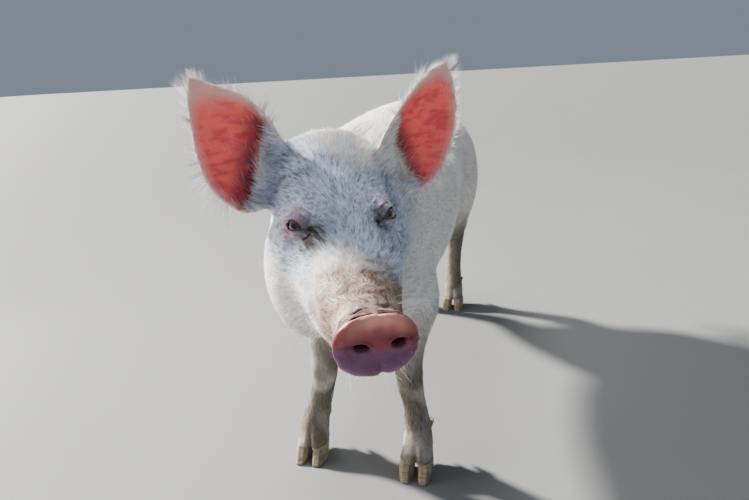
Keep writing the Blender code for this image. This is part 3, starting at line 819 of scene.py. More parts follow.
def foot_middles():
    """Where each foot stands: the middle between its two hooves."""
    places = {}
    for end in ("front", "hind"):
        for side in SIDES:
            foot = f"{end}_{side}"
            boxes = [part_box(f"{foot}_hoof_{toe}") for toe in ("inner", "outer")]
            low = np.minimum(*(np.array(b[0]) for b in boxes))
            high = np.maximum(*(np.array(b[1]) for b in boxes))
            places[foot] = (low + high) / 2
    return places


def shape_feet(points):
    """Carry the skin down over the hooves' upper rims, and part it between the two toes."""
    for middle in foot_middles().values():
        x, y = points[:, 0] - middle[0], points[:, 1] - middle[1]
        near = np.hypot(x, y) < 0.05
        low = near & (points[:, 2] < 0.060)
        down = 0.0028 * ramp(points[:, 2], HOOF_TOP + 0.006, HOOF_TOP + 0.001) * low
        front = ramp(y, 0.010, -0.012) * low
        cleft = bell(x, 0.0026) * front * ramp(points[:, 2], 0.046, 0.024)
        back = ramp(y, 0.006, 0.018) * low
        heel = bell(x, 0.0030) * back * ramp(points[:, 2], 0.034, 0.024)
        points[:, 1] += 0.0060 * cleft - 0.0045 * heel
        points[:, 2] -= down
    return points


# How far the skin lies under the tips of the coat.
BODY_DEPTH = 0.0026
FACE_DEPTH = 0.0013
LEG_DEPTH = 0.0011
TAIL_DEPTH = 0.0010
RIM_DEPTH = 0.0009
EAR_DEPTH = 0.0007


def coat_depth(points, kind):
    """How far to draw each point in for the coat. The snout and the soles stay as they are."""
    head = in_head(points)
    depth = np.full(len(points), BODY_DEPTH)
    face = ramp(head[:, 1], 0.19, 0.13)
    depth = depth * (1 - face) + FACE_DEPTH * face
    depth *= 1 - ramp(head[:, 1], 0.030, 0.012)
    legs = ramp(points[:, 2], 0.16, 0.10)
    depth = depth * (1 - legs) + LEG_DEPTH * legs
    depth *= ramp(points[:, 2], 0.018, 0.026) * 0.9 + 0.1
    tail = ramp(points[:, 1], 0.375, 0.390)
    depth = depth * (1 - tail) + TAIL_DEPTH * tail
    depth[kind == EAR_RIM] = RIM_DEPTH
    depth[kind > EAR_RIM] = EAR_DEPTH
    return depth


OFF_EAR, EAR_RIM, EAR_OUTSIDE, EAR_INSIDE = range(4)
# The way that the back of the left ear faces.
EAR_BACK = (-0.30, 0.95, -0.10)
# How close to an ear's solid its skin is, how thick an ear may be off its rim, and how far below
# the skin the search for its other face starts.
EAR_NEAR = 0.006
EAR_THICKEST = 0.009
RAY_START = 0.0004


def ear_kind(points, triangles, normals):
    """Which points are on an ear's thin rim, its outside or its inside."""
    kind = np.full(len(points), OFF_EAR)
    head = in_head(points)
    skin = BVHTree.FromPolygons(points.tolist(), triangles.tolist())
    rest = [BVHTree.FromBMesh(welded(name)) for name in ("head", "neck")]
    for side, m in SIDES.items():
        near = (head[:, 1] > 0.155) & (head[:, 2] > 0.01) & (head[:, 0] * m > 0.02)
        ear = BVHTree.FromBMesh(welded("ear_" + side))
        back = HEAD_TURN @ mirrored(EAR_BACK, m)
        for i in np.flatnonzero(near):
            place = Vector(points[i])
            to_ear = ear.find_nearest(place, EAR_NEAR)[3]
            if to_ear is None:
                continue
            if min(tree.find_nearest(place)[3] or 1.0 for tree in rest) < to_ear:
                continue
            inwards = Vector(-normals[i])
            if skin.ray_cast(place + inwards * RAY_START, inwards, EAR_THICKEST)[3] is None:
                kind[i] = EAR_RIM
            else:
                kind[i] = EAR_OUTSIDE if normals[i] @ back > 0 else EAR_INSIDE
    return kind


EAR_FOOT = (0.058, 0.190, 0.060)
# The size of the skin's ear as a share of its solid, which takes in the fringe.
EAR_SHARE = 0.925


def draw_in_ears(points, kind):
    """Leave room round each ear's edge for its fringe, which the solids' outline takes in."""
    head = in_head(points)
    for m in SIDES.values():
        mine = np.flatnonzero((kind != OFF_EAR) & (head[:, 0] * m > 0))
        foot = mirrored(EAR_FOOT, m)
        offset = head[mine] - foot
        reach = np.hypot(offset[:, 0], offset[:, 2])
        share = (1 - EAR_SHARE) * ramp(reach, 0.010, 0.045)
        offset[:, [0, 2]] *= (1 - share)[:, None]
        head[mine] = foot + offset
    return from_head(head)


# The brow's slope: where it starts, its height there, its half width and how steep it is.
BROW_STARTS = 0.152
BROW_HEIGHT = 0.0640
BROW_HALF_WIDTH = 0.030
BROW_SLOPE = 0.44


def level_brow(points, triangles, kind):
    """One even slope from the forehead up to the poll, and soft joins with the ears."""
    head = in_head(points)
    x, y, z = head.T
    x = x / BROW_HALF_WIDTH
    line = BROW_HEIGHT - 0.0065 * x**2 - 0.0013 * x**4 + BROW_SLOPE * (y - BROW_STARTS)
    furry = with_hairline(kind, points) == OFF_EAR
    share = ramp(y, 0.147, 0.155) * ramp(y, 0.205, 0.195) * ramp(np.abs(x), 1.75, 1.35)
    share *= (z > 0.028) * furry
    lower = 0.5 * (z + line - np.sqrt((z - line) ** 2 + 0.003**2))
    head[:, 2] += (lower - z) * share
    points = from_head(head)
    soft = ramp(y, 0.135, 0.150) * ramp(y, 0.222, 0.205) * ramp(z, 0.020, 0.032) * furry
    soft *= ramp(np.abs(x), 2.5, 2.1)
    return relax(points, edges_of(triangles), BROW_ROUNDS, soft, back=0.5)


# Rounds of smoothing: all over, where the ears join the head, on the brow and on the fine face.
FIRST_ROUNDS = 45
EAR_ROUNDS = 90
BROW_ROUNDS = 26
FACE_ROUNDS = 6


def soft_ear_joins(points, triangles):
    """The ears' feet run smoothly into the head."""
    head = in_head(points)
    joins = ramp(head[:, 1], 0.160, 0.172) * ramp(head[:, 1], 0.235, 0.222)
    joins *= ramp(head[:, 2], 0.015, 0.030) * ramp(head[:, 2], 0.110, 0.095)
    joins *= ramp(np.abs(head[:, 0]), 0.078, 0.066)
    return relax(points, edges_of(triangles), EAR_ROUNDS, joins)


def build_skin():
    """One skin over all the flesh: fused, drawn in for the coat, thinned and then modelled."""
    points, triangles = largest_island(*fused_flesh())
    strength = 1 - 0.45 * ramp(in_head(points)[:, 1], 0.22, 0.17)
    strength *= 1 - 0.4 * ramp(points[:, 2], 0.14, 0.10)
    points = relax(points, edges_of(triangles), FIRST_ROUNDS, strength)
    normals = vertex_normals(points, triangles)
    kind = ear_kind(points, triangles, normals)
    points -= normals * coat_depth(points, kind)[:, None]
    points = soft_ear_joins(draw_in_ears(points, kind), triangles)
    points = level_brow(points, triangles, kind)
    points, triangles = thin_trunk(points, triangles)
    points, triangles = refined(points, triangles, wanted_length)
    fine = ramp(in_head(points)[:, 1], 0.17, 0.15)
    points = relax(points, edges_of(triangles), FACE_ROUNDS, 0.9 * fine)
    head = in_head(points)
    swell = snout_rim(head) + mouth_swell(head)
    head += (vertex_normals(points, triangles) @ HEAD_TURN) * swell[:, None]
    head[:, 1] += snout_shift(head)
    for m in SIDES.values():
        head = shape_eye(head, m)
    return shape_feet(from_head(head)), triangles


# ---- markings

# The markings that the coat and the skin share, and those that only the skin has.
HAIR_MASKS = ("painted_brow_shade", "tan", "mud_and_painted_shade", "tear", "ear_red_and_glow")
# The snout's rim mask is a painted highlight, and its furrow mask is painted shade.
SNOUT_MASKS = ("snout", "snout_low", "snout_rim", "furrow_shade", "fold_side")
# The holes' mask is painted shade in the nostrils, the mouth's line and behind the eyes' openings.
MASKS = (*HAIR_MASKS, *SNOUT_MASKS, "ear_root_shade", "ear_pale", "lid", "hole_shade")


def nearest_distance(points, targets, reach):
    """Distance from each point to the closest target, or reach where none is nearer."""
    tree = KDTree(len(targets))
    for i, target in enumerate(targets):
        tree.insert(target, i)
    tree.balance()
    return np.array([min(reach, tree.find(point)[2]) for point in points])


# Each ear's hairline from its foot up: the height, and how far out from the head's middle the
# bare inside begins there.
EAR_HAIRLINE = {
    "left": ((0.033, 0.075), (0.040, 0.063), (0.055, 0.061), (0.072, 0.056), (0.090, 0.059)),
    "right": ((0.030, 0.072), (0.037, 0.064), (0.050, 0.059), (0.063, 0.052), (0.090, 0.045)),
}


def with_hairline(kind, points):
    """Between an ear's foot and its hairline the skin is the head's, with the head's coat."""
    kind = kind.copy()
    head = in_head(points)
    for side, m in SIDES.items():
        out = head[:, 0] * m
        line = np.interp(head[:, 2], *zip(*EAR_HAIRLINE[side]))
        foot = (out > 0) & (out <= line) & (head[:, 2] < 0.095)
        kind[((kind == EAR_INSIDE) | (kind == EAR_RIM)) & foot] = OFF_EAR
    return kind


def ear_masks(points, kind, found):
    """Red inside with a painted glow, painted shade by the root, and paler at the tip and along the
    rim.
    """
    head = in_head(points)
    inside = np.flatnonzero(kind == EAR_INSIDE)
    from_rim = nearest_distance(points[inside], points[kind == EAR_RIM], 0.05)
    # This mask carries the ear's red together with its painted glow.
    found["ear_red_and_glow"][inside] = ramp(from_rim, 0.0005, 0.0030)
    found["ear_rim"][inside] = from_rim
    for m in SIDES.values():
        mine = inside[head[inside, 0] * m > 0]
        q = mirrored(head[mine], m)
        patchy = 0.35 * waves(points[mine], 0.016, 5) + 0.25 * waves(points[mine], 0.007, 6)
        # Painted shade near the ear's root and along its inner edge, in streaks.
        dark = ramp(q[:, 0] + 0.35 * (q[:, 2] - 0.06), 0.087, 0.062)
        low = blob(q, (0.058, 0.19, 0.050), (0.020, 0.03, 0.022))
        found["ear_root_shade"][mine] = np.clip(dark + 0.20 * low + 0.45 * patchy * dark, 0, 1)
        tip = ramp(q[:, 2], 0.108, 0.128)
        edge = ramp(found["ear_rim"][mine], 0.009, 0.003)
        found["ear_pale"][mine] = np.clip(tip * 0.9 + 0.45 * edge + 0.12 * patchy, 0, 1)


# The tear stain below each eye's inner corner: its middle, its radii and its strength.
TEAR = {
    1: ((0.0272, 0.1030, 0.0345), (0.0070, 0.0165, 0.0120), 0.9),
    -1: ((-0.0248, 0.0965, 0.0304), (0.0098, 0.0120, 0.0092), 2.4),
}
# How bare the skin round each eye is.
BARE_LID = {1: 0.75, -1: 0.95}


def deepen(found, name, values):
    """Let a mask show these values too, wherever they are higher."""
    found[name] = np.maximum(found[name], values)


def coat_masks(points, found):
    """Painted shade, blue grey, on the hair round the eyes and up to the poll, and tan hair on the
    muzzle.
    """
    x, y, z = in_head(points).T
    wander = 0.004 * waves(points, 0.02, 11)
    # The painted shade reaches further forward on the pig's left, the side away from the sun.
    further = 0.034 * ramp(x, 0.004, 0.022)
    crown = ramp(y + wander + further, 0.066, 0.088) * ramp(z, -0.004, 0.012)
    # Its upper edge slants down towards the pig's left, like the edge of the ear's shadow over the
    # brow.
    crown *= ramp(z + 0.45 * x + 1.3 * wander, 0.080, 0.062) * ramp(y, 0.215, 0.200)
    found["painted_brow_shade"] = crown * (0.45 + 0.55 * ramp(np.abs(x) + wander, 0.058, 0.044))
    bridge = ramp(y + 1.5 * wander, 0.080, 0.044) * ramp(y, 0.006, 0.011)
    found["tan"] = bridge * (0.35 + 0.65 * ramp(z + 0.6 * y, -0.034, -0.010))


def eye_masks(points, found):
    """Bare lids, tear stains, the lids' dark edges, and painted shade behind the opening."""
    head = in_head(points)
    for m in SIDES.values():
        height, along, up = eye_place(head, m)
        edge = opening_distance(along, up)
        level = np.abs(height - 0.009) < 0.009
        reach = np.hypot((along - 0.0028) * 0.90, up * 0.72 - 0.0010)
        reach += 0.0012 * waves(points, 0.006, 14)
        deepen(found, "lid", ramp(reach, 0.0170, 0.0080) * level * BARE_LID[m])
        place, radii, strength = TEAR[m]
        stain = strength * blob(head, place, radii) * (1 + 0.5 * waves(points, 0.006, 12))
        deepen(found, "tear", np.clip(stain + 0.9 * bell(edge, 0.0009) * level, 0, 1))
        # Painted shade on the skin behind the opening.
        deepen(found, "hole_shade", ramp(edge, 0.0002, -0.0006) * level)


def snout_masks(points, found):
    """The bare snout, purple below, with a painted highlight along the top of its rolled rim, its
    folds brown and painted shade in its furrows.
    """
    head = in_head(points)
    x, y, z = head.T
    folded = 0.0075 * ramp(x, 0.012, -0.006) * ramp(z, -0.008, 0.008)
    found["snout"] = ramp(y - folded, 0.0135, 0.0085)
    # Painted shade in the furrows.
    found["furrow_shade"] = ramp(furrows(head), 0.0003, 0.0012)
    found["fold_side"] = ramp(y, 0.0005, 0.0025)
    level = z + 0.10 * x + 0.0016 * waves(points, 0.014, 15) + 0.0050 * bell(x - 0.002, 0.0055)
    found["snout_low"] = ramp(level, 0.0085, -0.0060) * ramp(y, 0.006, 0.001)
    rolled = np.hypot(x / SNOUT_HALF[0], z / SNOUT_HALF[1]) + 0.10 * waves(points, 0.010, 16)
    # The painted highlight lies only on the rim's top, towards its middle.
    rim = ramp(rolled, 0.35, 1.10) * ramp(z, 0.003, 0.015) * bell(x - 0.003, 0.017)
    found["snout_rim"] = 0.92 * rim * (1 - found["fold_side"]) * found["snout"]
    dark = blob(head, (0.008, 0.0205, 0.017), (0.015, 0.0070, 0.010)) * ramp(y, 0.012, 0.015)
    deepen(found, "tear", 0.9 * dark * (1 + 0.5 * waves(points, 0.005, 13)))
    found["tear"] = np.clip(found["tear"], 0, 1)


def hole_shade_masks(points, found):
    """Painted shade in the nostrils and along the mouth's line."""
    head = in_head(points)
    inner = ramp(head[:, 1], 0.0005, 0.0035) * ramp(head[:, 1], 0.030, 0.026)
    for m in SIDES.values():
        offset = head - (SNOUT_MIDDLE + m * NOSTRIL_ACROSS, 0, NOSTRIL_HEIGHT)
        deep = np.hypot(offset[:, 0] / 0.0050, offset[:, 2] / 0.0040)
        deepen(found, "hole_shade", inner * ramp(deep, 1.1, 0.9))
    over, along = mouth_place(head)
    deepen(found, "hole_shade", 0.75 * bell(over, 0.0011) * along)


def find_masks(points, kind):
    """How strongly each marking shows at each point of the skin."""
    found = {name: np.zeros(len(points)) for name in MASKS + ("ear_rim",)}
    for marks in (coat_masks, eye_masks, snout_masks, hole_shade_masks):
        marks(points, found)
    # The face's markings stop at the ears. Only the painted brow shade runs out over their roots.
    height = in_head(points)[:, 2]
    for name in ("painted_brow_shade", "tan", "lid", "tear"):
        root = 0.5 * ramp(height, 0.092, 0.070) if name == "painted_brow_shade" else 0
        found[name] *= np.where(kind == OFF_EAR, 1, root * (kind != EAR_INSIDE))
    ear_masks(points, kind, found)
    # Mud low on the legs, darker towards the feet, with painted shade of legs that stand in shade.
    blotchy = 0.5 + 0.5 * waves(points, 0.035, 21)
    feet = ramp(points[:, 2] + 0.04 * (blotchy - 0.5), 0.230, 0.110)
    # Painted shade: the hind legs, in the body's shade, are darker still.
    feet *= 1 + 0.4 * ramp(points[:, 1], 0.05, 0.15)
    found["mud_and_painted_shade"] = np.clip(feet * (0.65 + 0.6 * blotchy), 0, 1)
    return found


# ---- eyes and hooves


def eye_material():
    """A dark brown iris with a level pupil under a wet, clear front."""
    paint = Paint("pig_eye")
    spot = paint.attribute("spot", "Vector")
    fibres = paint.noise(420, 4, where=spot, stretch=(1.0, 1.0, 0.3))
    colour = paint.mix(fibres, (0.030, 0.018, 0.012), (0.085, 0.052, 0.032))
    colour = paint.over("limbus", colour, (0.150, 0.115, 0.105))
    paint.put("Base Color", paint.over("pupil", colour, (0.004, 0.004, 0.006)))
    paint.put("Roughness", 0.06)
    paint.put("Coat Weight", 1.0)
    paint.put("Coat Roughness", 0.02)
    paint.put("IOR", 1.38)
    return paint.material


# How far the cornea stands forward, as a share of the eyeball's radius, and how much longer
# than high the pupil is.
CORNEA = 0.035
PUPIL_STRETCH = 1.35


def add_eyes():
    """Round eyeballs, each with its cornea standing a little forward."""
    material = eye_material()
    ball = bmesh.new()
    bmesh.ops.create_icosphere(ball, subdivisions=6, radius=EYE_RADIUS)
    ball, triangles = mesh_arrays(baked(ball, "eyeball"))
    for side, m in SIDES.items():
        out, back, up = eye_axes(m)
        spread = np.arccos(np.clip(unit(ball) @ out, -1, 1))
        level = np.hypot((ball @ back) / PUPIL_STRETCH, ball @ up)
        points = ball * (1 + CORNEA * ramp(spread, 0.60, 0.25))[:, None]
        eye = add_object("eye_ball_" + side, make_mesh("eye_ball_" + side, points, triangles))
        set_attribute(eye.data, "spot", points)
        set_attribute(eye.data, "pupil", ramp(level, 0.0032, 0.0026) * (spread < 1.2))
        set_attribute(eye.data, "limbus", ramp(spread, 0.60, 0.68))
        place = Vector(from_head(mirrored(EYE_CENTRE, m)))
        eye.data.transform(Matrix.Translation(place) @ HEAD.to_3x3().to_4x4())
        eye.data.materials.append(material)
        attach(eye, "root")
        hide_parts("eye_" + side)


# How fine the horn's mesh is, how it is smoothed and drawn in, and its growth rings.
HORN_VOXEL = 0.0008
HORN_ROUNDS = 14
HORN_INSET = 0.00025
RING_PITCH = 0.0023
RING_DEPTH = 0.00016


def hoof_material():
    """Brown horn with growth rings, streaked, scuffed and muddy in patches."""
    paint = Paint("hoof_horn")
    rings = paint.noise(240, 3, stretch=(0.25, 0.25, 3.0))
    streak = paint.noise(300, 4, stretch=(3.0, 3.0, 0.35))
    colour = paint.mix(paint.remap(streak, 0.35, 0.65), (0.22, 0.165, 0.095), (0.36, 0.285, 0.175))
    colour = paint.mix(paint.remap(rings, 0.45, 0.62, 0.0, 0.5), colour, (0.13, 0.095, 0.055))
    mud = paint.patches(90, 4, 0.42, 0.62, 0.0, 0.7)
    paint.put("Base Color", paint.mix(mud, colour, (0.12, 0.098, 0.052)))
    paint.put("Roughness", paint.remap(streak, 0.3, 0.7, 0.48, 0.75))
    normal = paint.bump(rings, 0.0008, 0.7)
    paint.put("Normal", paint.bump(paint.noise(900, 3), 0.0003, 0.5, below=normal))
    return paint.material


def horn_shape(name):
    """A solid of horn, rounded off, drawn in a little and ringed on its upright sides."""
    points, triangles = remeshed(baked(welded(name), "horn"), HORN_VOXEL)
    floor = points[:, 2].min()
    points = relax(points, edges_of(triangles), HORN_ROUNDS, 1.0)
    normals = vertex_normals(points, triangles)
    points -= normals * HORN_INSET
    turn = points[:, 2] * 2 * math.pi / RING_PITCH + 1.5 * waves(points, 0.02, 3)
    points += normals * (RING_DEPTH * np.sin(turn) * (np.abs(normals[:, 2]) < 0.6))[:, None]
    points[:, 2] = np.maximum(points[:, 2], floor + 0.00002)
    return points, triangles


def add_hooves():
    """The horn pieces, each over its own solid."""
    material = hoof_material()
    for name in sorted(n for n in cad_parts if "hoof" in n or "dewclaw" in n):
        horn = add_object("horn_" + name, make_mesh("horn_" + name, *horn_shape(name)))
        horn.data.materials.append(material)
        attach(horn, "root")
        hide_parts(name)


# ---- the lie of the coat

EAR_TIPS = {"left": (0.1070, 0.193, 0.1290), "right": (-0.0995, 0.192, 0.1390)}
EAR_MIDDLE = (0.0780, 0.190, 0.0850)
TAIL_MIDDLE = (-0.0094, 0.4047, 0.3300)
TAIL_STARTS = 0.372
# Hair by where it grows: its length, how far its tip stands off the skin, its width, and how
# thickly it grows beside the rest.
HAIR = {
    "body": (0.0135, 0.0021, 0.00042, 6.0e5),
    "head": (0.0090, 0.0012, 0.00028, 2.4e6),
    "muzzle": (0.0050, 0.0011, 0.00024, 2.6e6),
    "snout_edge": (0.0028, 0.0006, 0.00018, 2.6e6),
    "poll": (0.0150, 0.0036, 0.00030, 1.7e6),
    "leg": (0.0080, 0.0009, 0.00034, 9.0e5),
    "foot": (0.0050, 0.0006, 0.00028, 1.2e6),
    "tail": (0.0060, 0.0009, 0.00026, 1.5e6),
    "lids": (0.0034, 0.0006, 0.00020, 3.0e6),
    "ear": (0.0070, 0.0009, 0.00024, 1.3e6),
    "ear_inside": (0.0100, 0.0016, 0.00013, 2.4e5),
    "ear_rim": (0.0110, 0.0030, 0.00020, 1.7e7),
    "below_ear": (0.0230, 0.0030, 0.00020, 1.5e7),
}


def turned(vectors, normals, angle):
    """Each vector turned about its normal."""
    c, s = np.cos(angle)[:, None], np.sin(angle)[:, None]
    return vectors * c + np.cross(normals, vectors) * s


def flattened(vectors, normals):
    """Each vector laid into the plane across its normal, at unit length."""
    along = (vectors * normals).sum(1, keepdims=True)
    return unit(vectors - normals * along)


def mixed(a, b, share):
    """Rows of a where share is 0, and of b where it is 1."""
    return a + (b - a) * share[:, None]


def head_comb(head):
    """On the head the hair runs back from the snout and fans out over the brow and the poll."""
    x, y, z = head.T
    way = np.stack([np.clip(13 * x, -0.9, 0.9), np.ones(len(x)), np.zeros(len(x))], 1)
    way[:, 2] = -0.55 * ramp(z, 0.012, -0.040) * ramp(y, 0.05, 0.10)
    by_ear = ramp(np.abs(x), 0.036, 0.052) * ramp(y, 0.150, 0.170) * ramp(z, 0.020, 0.035)
    outwards = np.stack([2.2 * np.sign(x), 0.3 * np.ones(len(x)), 0.9 * np.ones(len(x))], 1)
    return mixed(way, outwards, by_ear) @ HEAD_TURN.T


def body_comb(points, normals):
    """Back along the trunk, and down the chest, the rump and the legs."""
    count = len(points)
    way = np.stack([np.zeros(count), np.ones(count), -0.40 * np.abs(normals[:, 0])], 1)
    down = np.tile((0.0, 0.22, -1.0), (count, 1))
    leg = ramp(points[:, 2], 0.225, 0.165)
    ends = ramp(np.abs(normals[:, 1]), 0.45, 0.85)
    way = mixed(way, down, np.maximum(leg, ends))
    offset = points - np.array(TAIL_MIDDLE)
    round_curl = np.stack([0.25 * np.ones(count), offset[:, 2], -offset[:, 1]], 1)
    return mixed(unit(way), unit(round_curl), ramp(points[:, 1], TAIL_STARTS, TAIL_STARTS + 0.01))


def ear_comb(head, kind, way):
    """Towards the tip on both faces of an ear, and outwards in a fringe from its rim."""
    for side, m in SIDES.items():
        mine = (kind != OFF_EAR) & (head[:, 0] * m > 0)
        to_tip = unit(np.array(EAR_TIPS[side]) - head[mine])
        out = head[mine] - mirrored(EAR_MIDDLE, m)
        out[:, 1] *= 0.3
        out = unit(out)
        rim = (kind[mine] == EAR_RIM)[:, None]
        below = ramp(head[mine, 2], 0.075, 0.050)[:, None]
        hanging = np.array((-0.15 * m, 0.1, -1.0))
        fringe = unit(out + 0.65 * to_tip) * (1 - below) + unit(out + 0.5 * hanging) * below
        tuft = np.where(rim, fringe, to_tip + 0.5 * out)
        way[mine] = tuft @ HEAD_TURN.T
    return way


class Lie:
    """How the coat lies at each point of the skin."""

    def __init__(self, points, normals, kind, masks):
        head = in_head(points)
        y, z = head[:, 1], head[:, 2]
        self.on_head = ramp(y, 0.225, 0.195) * ramp(z, -0.105, -0.090)
        self.muzzle = ramp(y, 0.090, 0.055) * self.on_head
        self.ear = kind != OFF_EAR
        # On a rim the hair stands free of the skin.
        self.free = (kind == EAR_RIM) * 1.0

        way = mixed(body_comb(points, normals), unit(head_comb(head)), self.on_head)
        way = ear_comb(head, kind, way)
        swirl = 0.16 * waves(points, 0.060, 31) + self.muzzle * waves(points, 0.014, 32)
        swirl[self.ear] = 0.25 * waves(points[self.ear], 0.012, 33)
        self.comb = turned(flattened(way, normals), normals, swirl)
        self.loose = unit(way)

        hair = np.tile(HAIR["body"], (len(points), 1))
        for place, share in self.growth(points, head, kind):
            hair = mixed(hair, np.array(HAIR[place]), share)
        self.length, self.rise, self.width, self.number = hair.T
        bare = np.maximum.reduce([0.95 * masks["lid"], masks["snout"], 2 * masks["hole_shade"]])
        deep_red = masks["ear_red_and_glow"] * ramp(masks["ear_rim"], 0.002, 0.010) * 0.95
        self.number *= np.clip(1 - bare, 0, 1) * (1 - deep_red)
        self.number *= ramp(points[:, 2], 0.0175, 0.0215)

    def growth(self, points, head, kind):
        """Where each kind of hair grows. It takes over from the kinds before it."""
        y, z = head[:, 1], head[:, 2]
        poll = blob(head, (0, 0.190, 0.088), (0.040, 0.020, 0.022))
        yield "head", self.on_head
        yield "muzzle", self.muzzle
        yield "snout_edge", ramp(y, 0.036, 0.018) * self.on_head
        yield "poll", np.clip(1.2 * poll, 0, 1)
        yield "leg", ramp(points[:, 2], 0.190, 0.130)
        yield "foot", ramp(points[:, 2], 0.060, 0.030)
        yield "tail", ramp(points[:, 1], TAIL_STARTS, TAIL_STARTS + 0.010)
        for m in SIDES.values():
            from_eye = np.linalg.norm(head - mirrored(EYE_CENTRE, m), axis=1)
            yield "lids", ramp(from_eye, 0.034, 0.017)
        yield "ear", self.ear * 1.0
        yield "ear_inside", (kind == EAR_INSIDE) * 1.0
        yield "ear_rim", self.free
        yield "below_ear", self.free * ramp(z, 0.070, 0.045)


# ---- blades of hair


def guides(points, triangles, normals, lie):
    """Where a hair from each skin point has its middle and its tip, and the normal below its tip.

    All but the free hairs follow the skin.
    """
    tree = BVHTree.FromPolygons(points.tolist(), triangles.tolist())
    stations = []
    here, way = points, lie.comb
    step = (lie.length / 2)[:, None]
    for _ in range(2):
        ahead = here + way * step
        landed = ahead.copy()
        up = normals.copy()
        for i in np.flatnonzero((lie.number > 0) & (lie.free < 0.5)):
            landed[i], up[i] = tree.find_nearest(ahead[i])[:2]
        here = mixed(landed, here + lie.loose * step, lie.free)
        way = flattened(way, up)
        stations.append(here)
    return *stations, up


def scattered(points, triangles, number, wanted, rng):
    """Roots spread over the triangles: each one's triangle and its weights at the corners."""
    a, b, c = (points[triangles[:, k]] for k in range(3))
    area = 0.5 * np.linalg.norm(np.cross(b - a, c - a), axis=1)
    share = np.cumsum(area * number[triangles].mean(1))
    count = int(min(wanted, share[-1]))
    marks = (np.arange(count) + rng.uniform(size=count)) * share[-1] / count
    chosen = np.minimum(np.searchsorted(share, marks), len(triangles) - 1)
    u, v = rng.uniform(size=(2, count))
    over = u + v > 1
    u[over], v[over] = 1 - u[over], 1 - v[over]
    return chosen, np.stack([1 - u - v, u, v], 1)


def pulled_together(roots, size, rng):
    """The offset of each root from the middle of its own tuft, and the tuft's tone."""
    cell = np.floor(roots / size + 0.25 * waves(roots, 4 * size, 41)[:, None]).astype(np.int64)
    key = np.bitwise_xor.reduce(cell * TUFT_KEYS, axis=1)
    tuft = np.unique(key, return_inverse=True)[1]
    count = np.bincount(tuft)
    middle = np.stack([np.bincount(tuft, roots[:, k]) / count for k in range(3)], 1)
    tone = rng.uniform(size=len(count))
    return middle[tuft] - roots, tone[tuft]


def inside_box(stations):
    """Shorten any hair that would reach out of the solids' box."""
    low, high = (np.array(corner) for corner in CAD_BOX)
    low, high = low + BOX_MARGIN, high - BOX_MARGIN
    root = stations[0]
    share = np.ones(len(root))
    for station in stations[1:]:
        step = station - root
        with np.errstate(divide="ignore", invalid="ignore"):
            room = np.where(step > 0, (high - root) / step, (low - root) / step)
        room[~np.isfinite(room)] = 9.0
        share = np.minimum(share, np.clip(room, 0, 1).min(1))
    return [root + (station - root) * share[:, None] for station in stations]


def blade_mesh(name, stations, sides, widths, values, corner_uv, ups=None):
    """Flat blades through the stations, which narrow to a point at the last one."""
    count = len(widths)
    rows = []
    for station, taper in zip(stations[:-1], BLADE_TAPER):
        half = sides * (widths * taper / 2)[:, None]
        rows += [station - half, station + half]
    rows.append(stations[-1])
    each = len(rows)
    pattern = []
    for k in range(0, each - 3, 2):
        pattern += [(k, k + 1, k + 3), (k, k + 3, k + 2)]
    pattern.append((each - 3, each - 2, each - 1))
    starts = np.arange(count) * each
    triangles = (starts[:, None, None] + np.array(pattern)[None]).reshape(-1, 3)
    mesh = make_mesh(name, np.stack(rows, 1).reshape(-1, 3), triangles)
    for key, value in values.items():
        set_attribute(mesh, key, np.repeat(value, each, axis=0))
    patch = np.zeros((each, 2))
    patch[:, 0] = np.where(np.arange(each) % 2, PATCH_HALF, -PATCH_HALF)
    patch[:, 1] = np.linspace(-PATCH_HALF, PATCH_HALF, each)
    patch[-1, 0] = 0
    spots = np.clip(np.repeat(corner_uv, each, axis=0) + np.tile(patch, (count, 1)), 0, 1)
    layer = mesh.uv_layers.new(name="OFBake")
    layer.uv.foreach_set("vector", spots[triangles.ravel()].astype(np.float32).ravel())
    if ups is not None:
        flat = unit(np.cross(sides, stations[-1] - stations[0]))
        normals = np.repeat(unit(ups + BLADE_OWN_NORMAL * flat), each, axis=0)
        mesh.normals_split_custom_set_from_vertices(normals.tolist())
    return mesh


HAIRS = 440000
# A blade has three triangles, and a piece of the coat stays under 200,000.
HAIRS_IN_PIECE = 62000
# The size of a tuft, how far its hairs draw together, and factors that tell tufts apart.
CLUMP = 0.0021
CLUMPING = 0.5
TUFT_KEYS = (73856093, 19349663, 83492791)
# The share of guard hairs, which are longer and stand up more.
GUARD_SHARE = 0.07
GUARD_LENGTH = 1.35
GUARD_RISE = 1.7
# How deep a root sits, and how far every hair stays inside the solids' box.
ROOT_DEPTH = 0.0002
BOX_MARGIN = 0.0002
# A blade's width at each of its stations but the last, as a share of its full width.
BLADE_TAPER = (0.85, 1.0, 0.8, 0.6)
# Half the side of a blade's patch in the map for baking.
PATCH_HALF = 0.0015
# Where the pieces of the coat meet along the body: behind the shoulders and before the haunches.
TRUNK_STARTS = -0.06
HIND_STARTS = 0.15
COAT_PARTS = ("ears", "head", "forequarters", "trunk", "hindquarters")
# A blade is shaded mostly like the skin below it and a little by its own flat side.
BLADE_OWN_NORMAL = 0.45


def unwrapped(skin):
    """Each triangle's corners on an unwrap of the skin."""
    bpy.context.view_layer.objects.active = skin
    skin.select_set(True)
    skin.data.uv_layers.new(name="skin_map")
    bpy.ops.object.mode_set(mode="EDIT")
    bpy.ops.mesh.select_all(action="SELECT")
    bpy.ops.uv.smart_project(angle_limit=math.radians(66), island_margin=0.002)
    bpy.ops.object.mode_set(mode="OBJECT")
    flat = np.empty(len(skin.data.loops) * 2, np.float32)
    skin.data.uv_layers["skin_map"].uv.foreach_get("vector", flat)
    skin.data.uv_layers.remove(skin.data.uv_layers["skin_map"])
    return flat.reshape(-1, 3, 2)


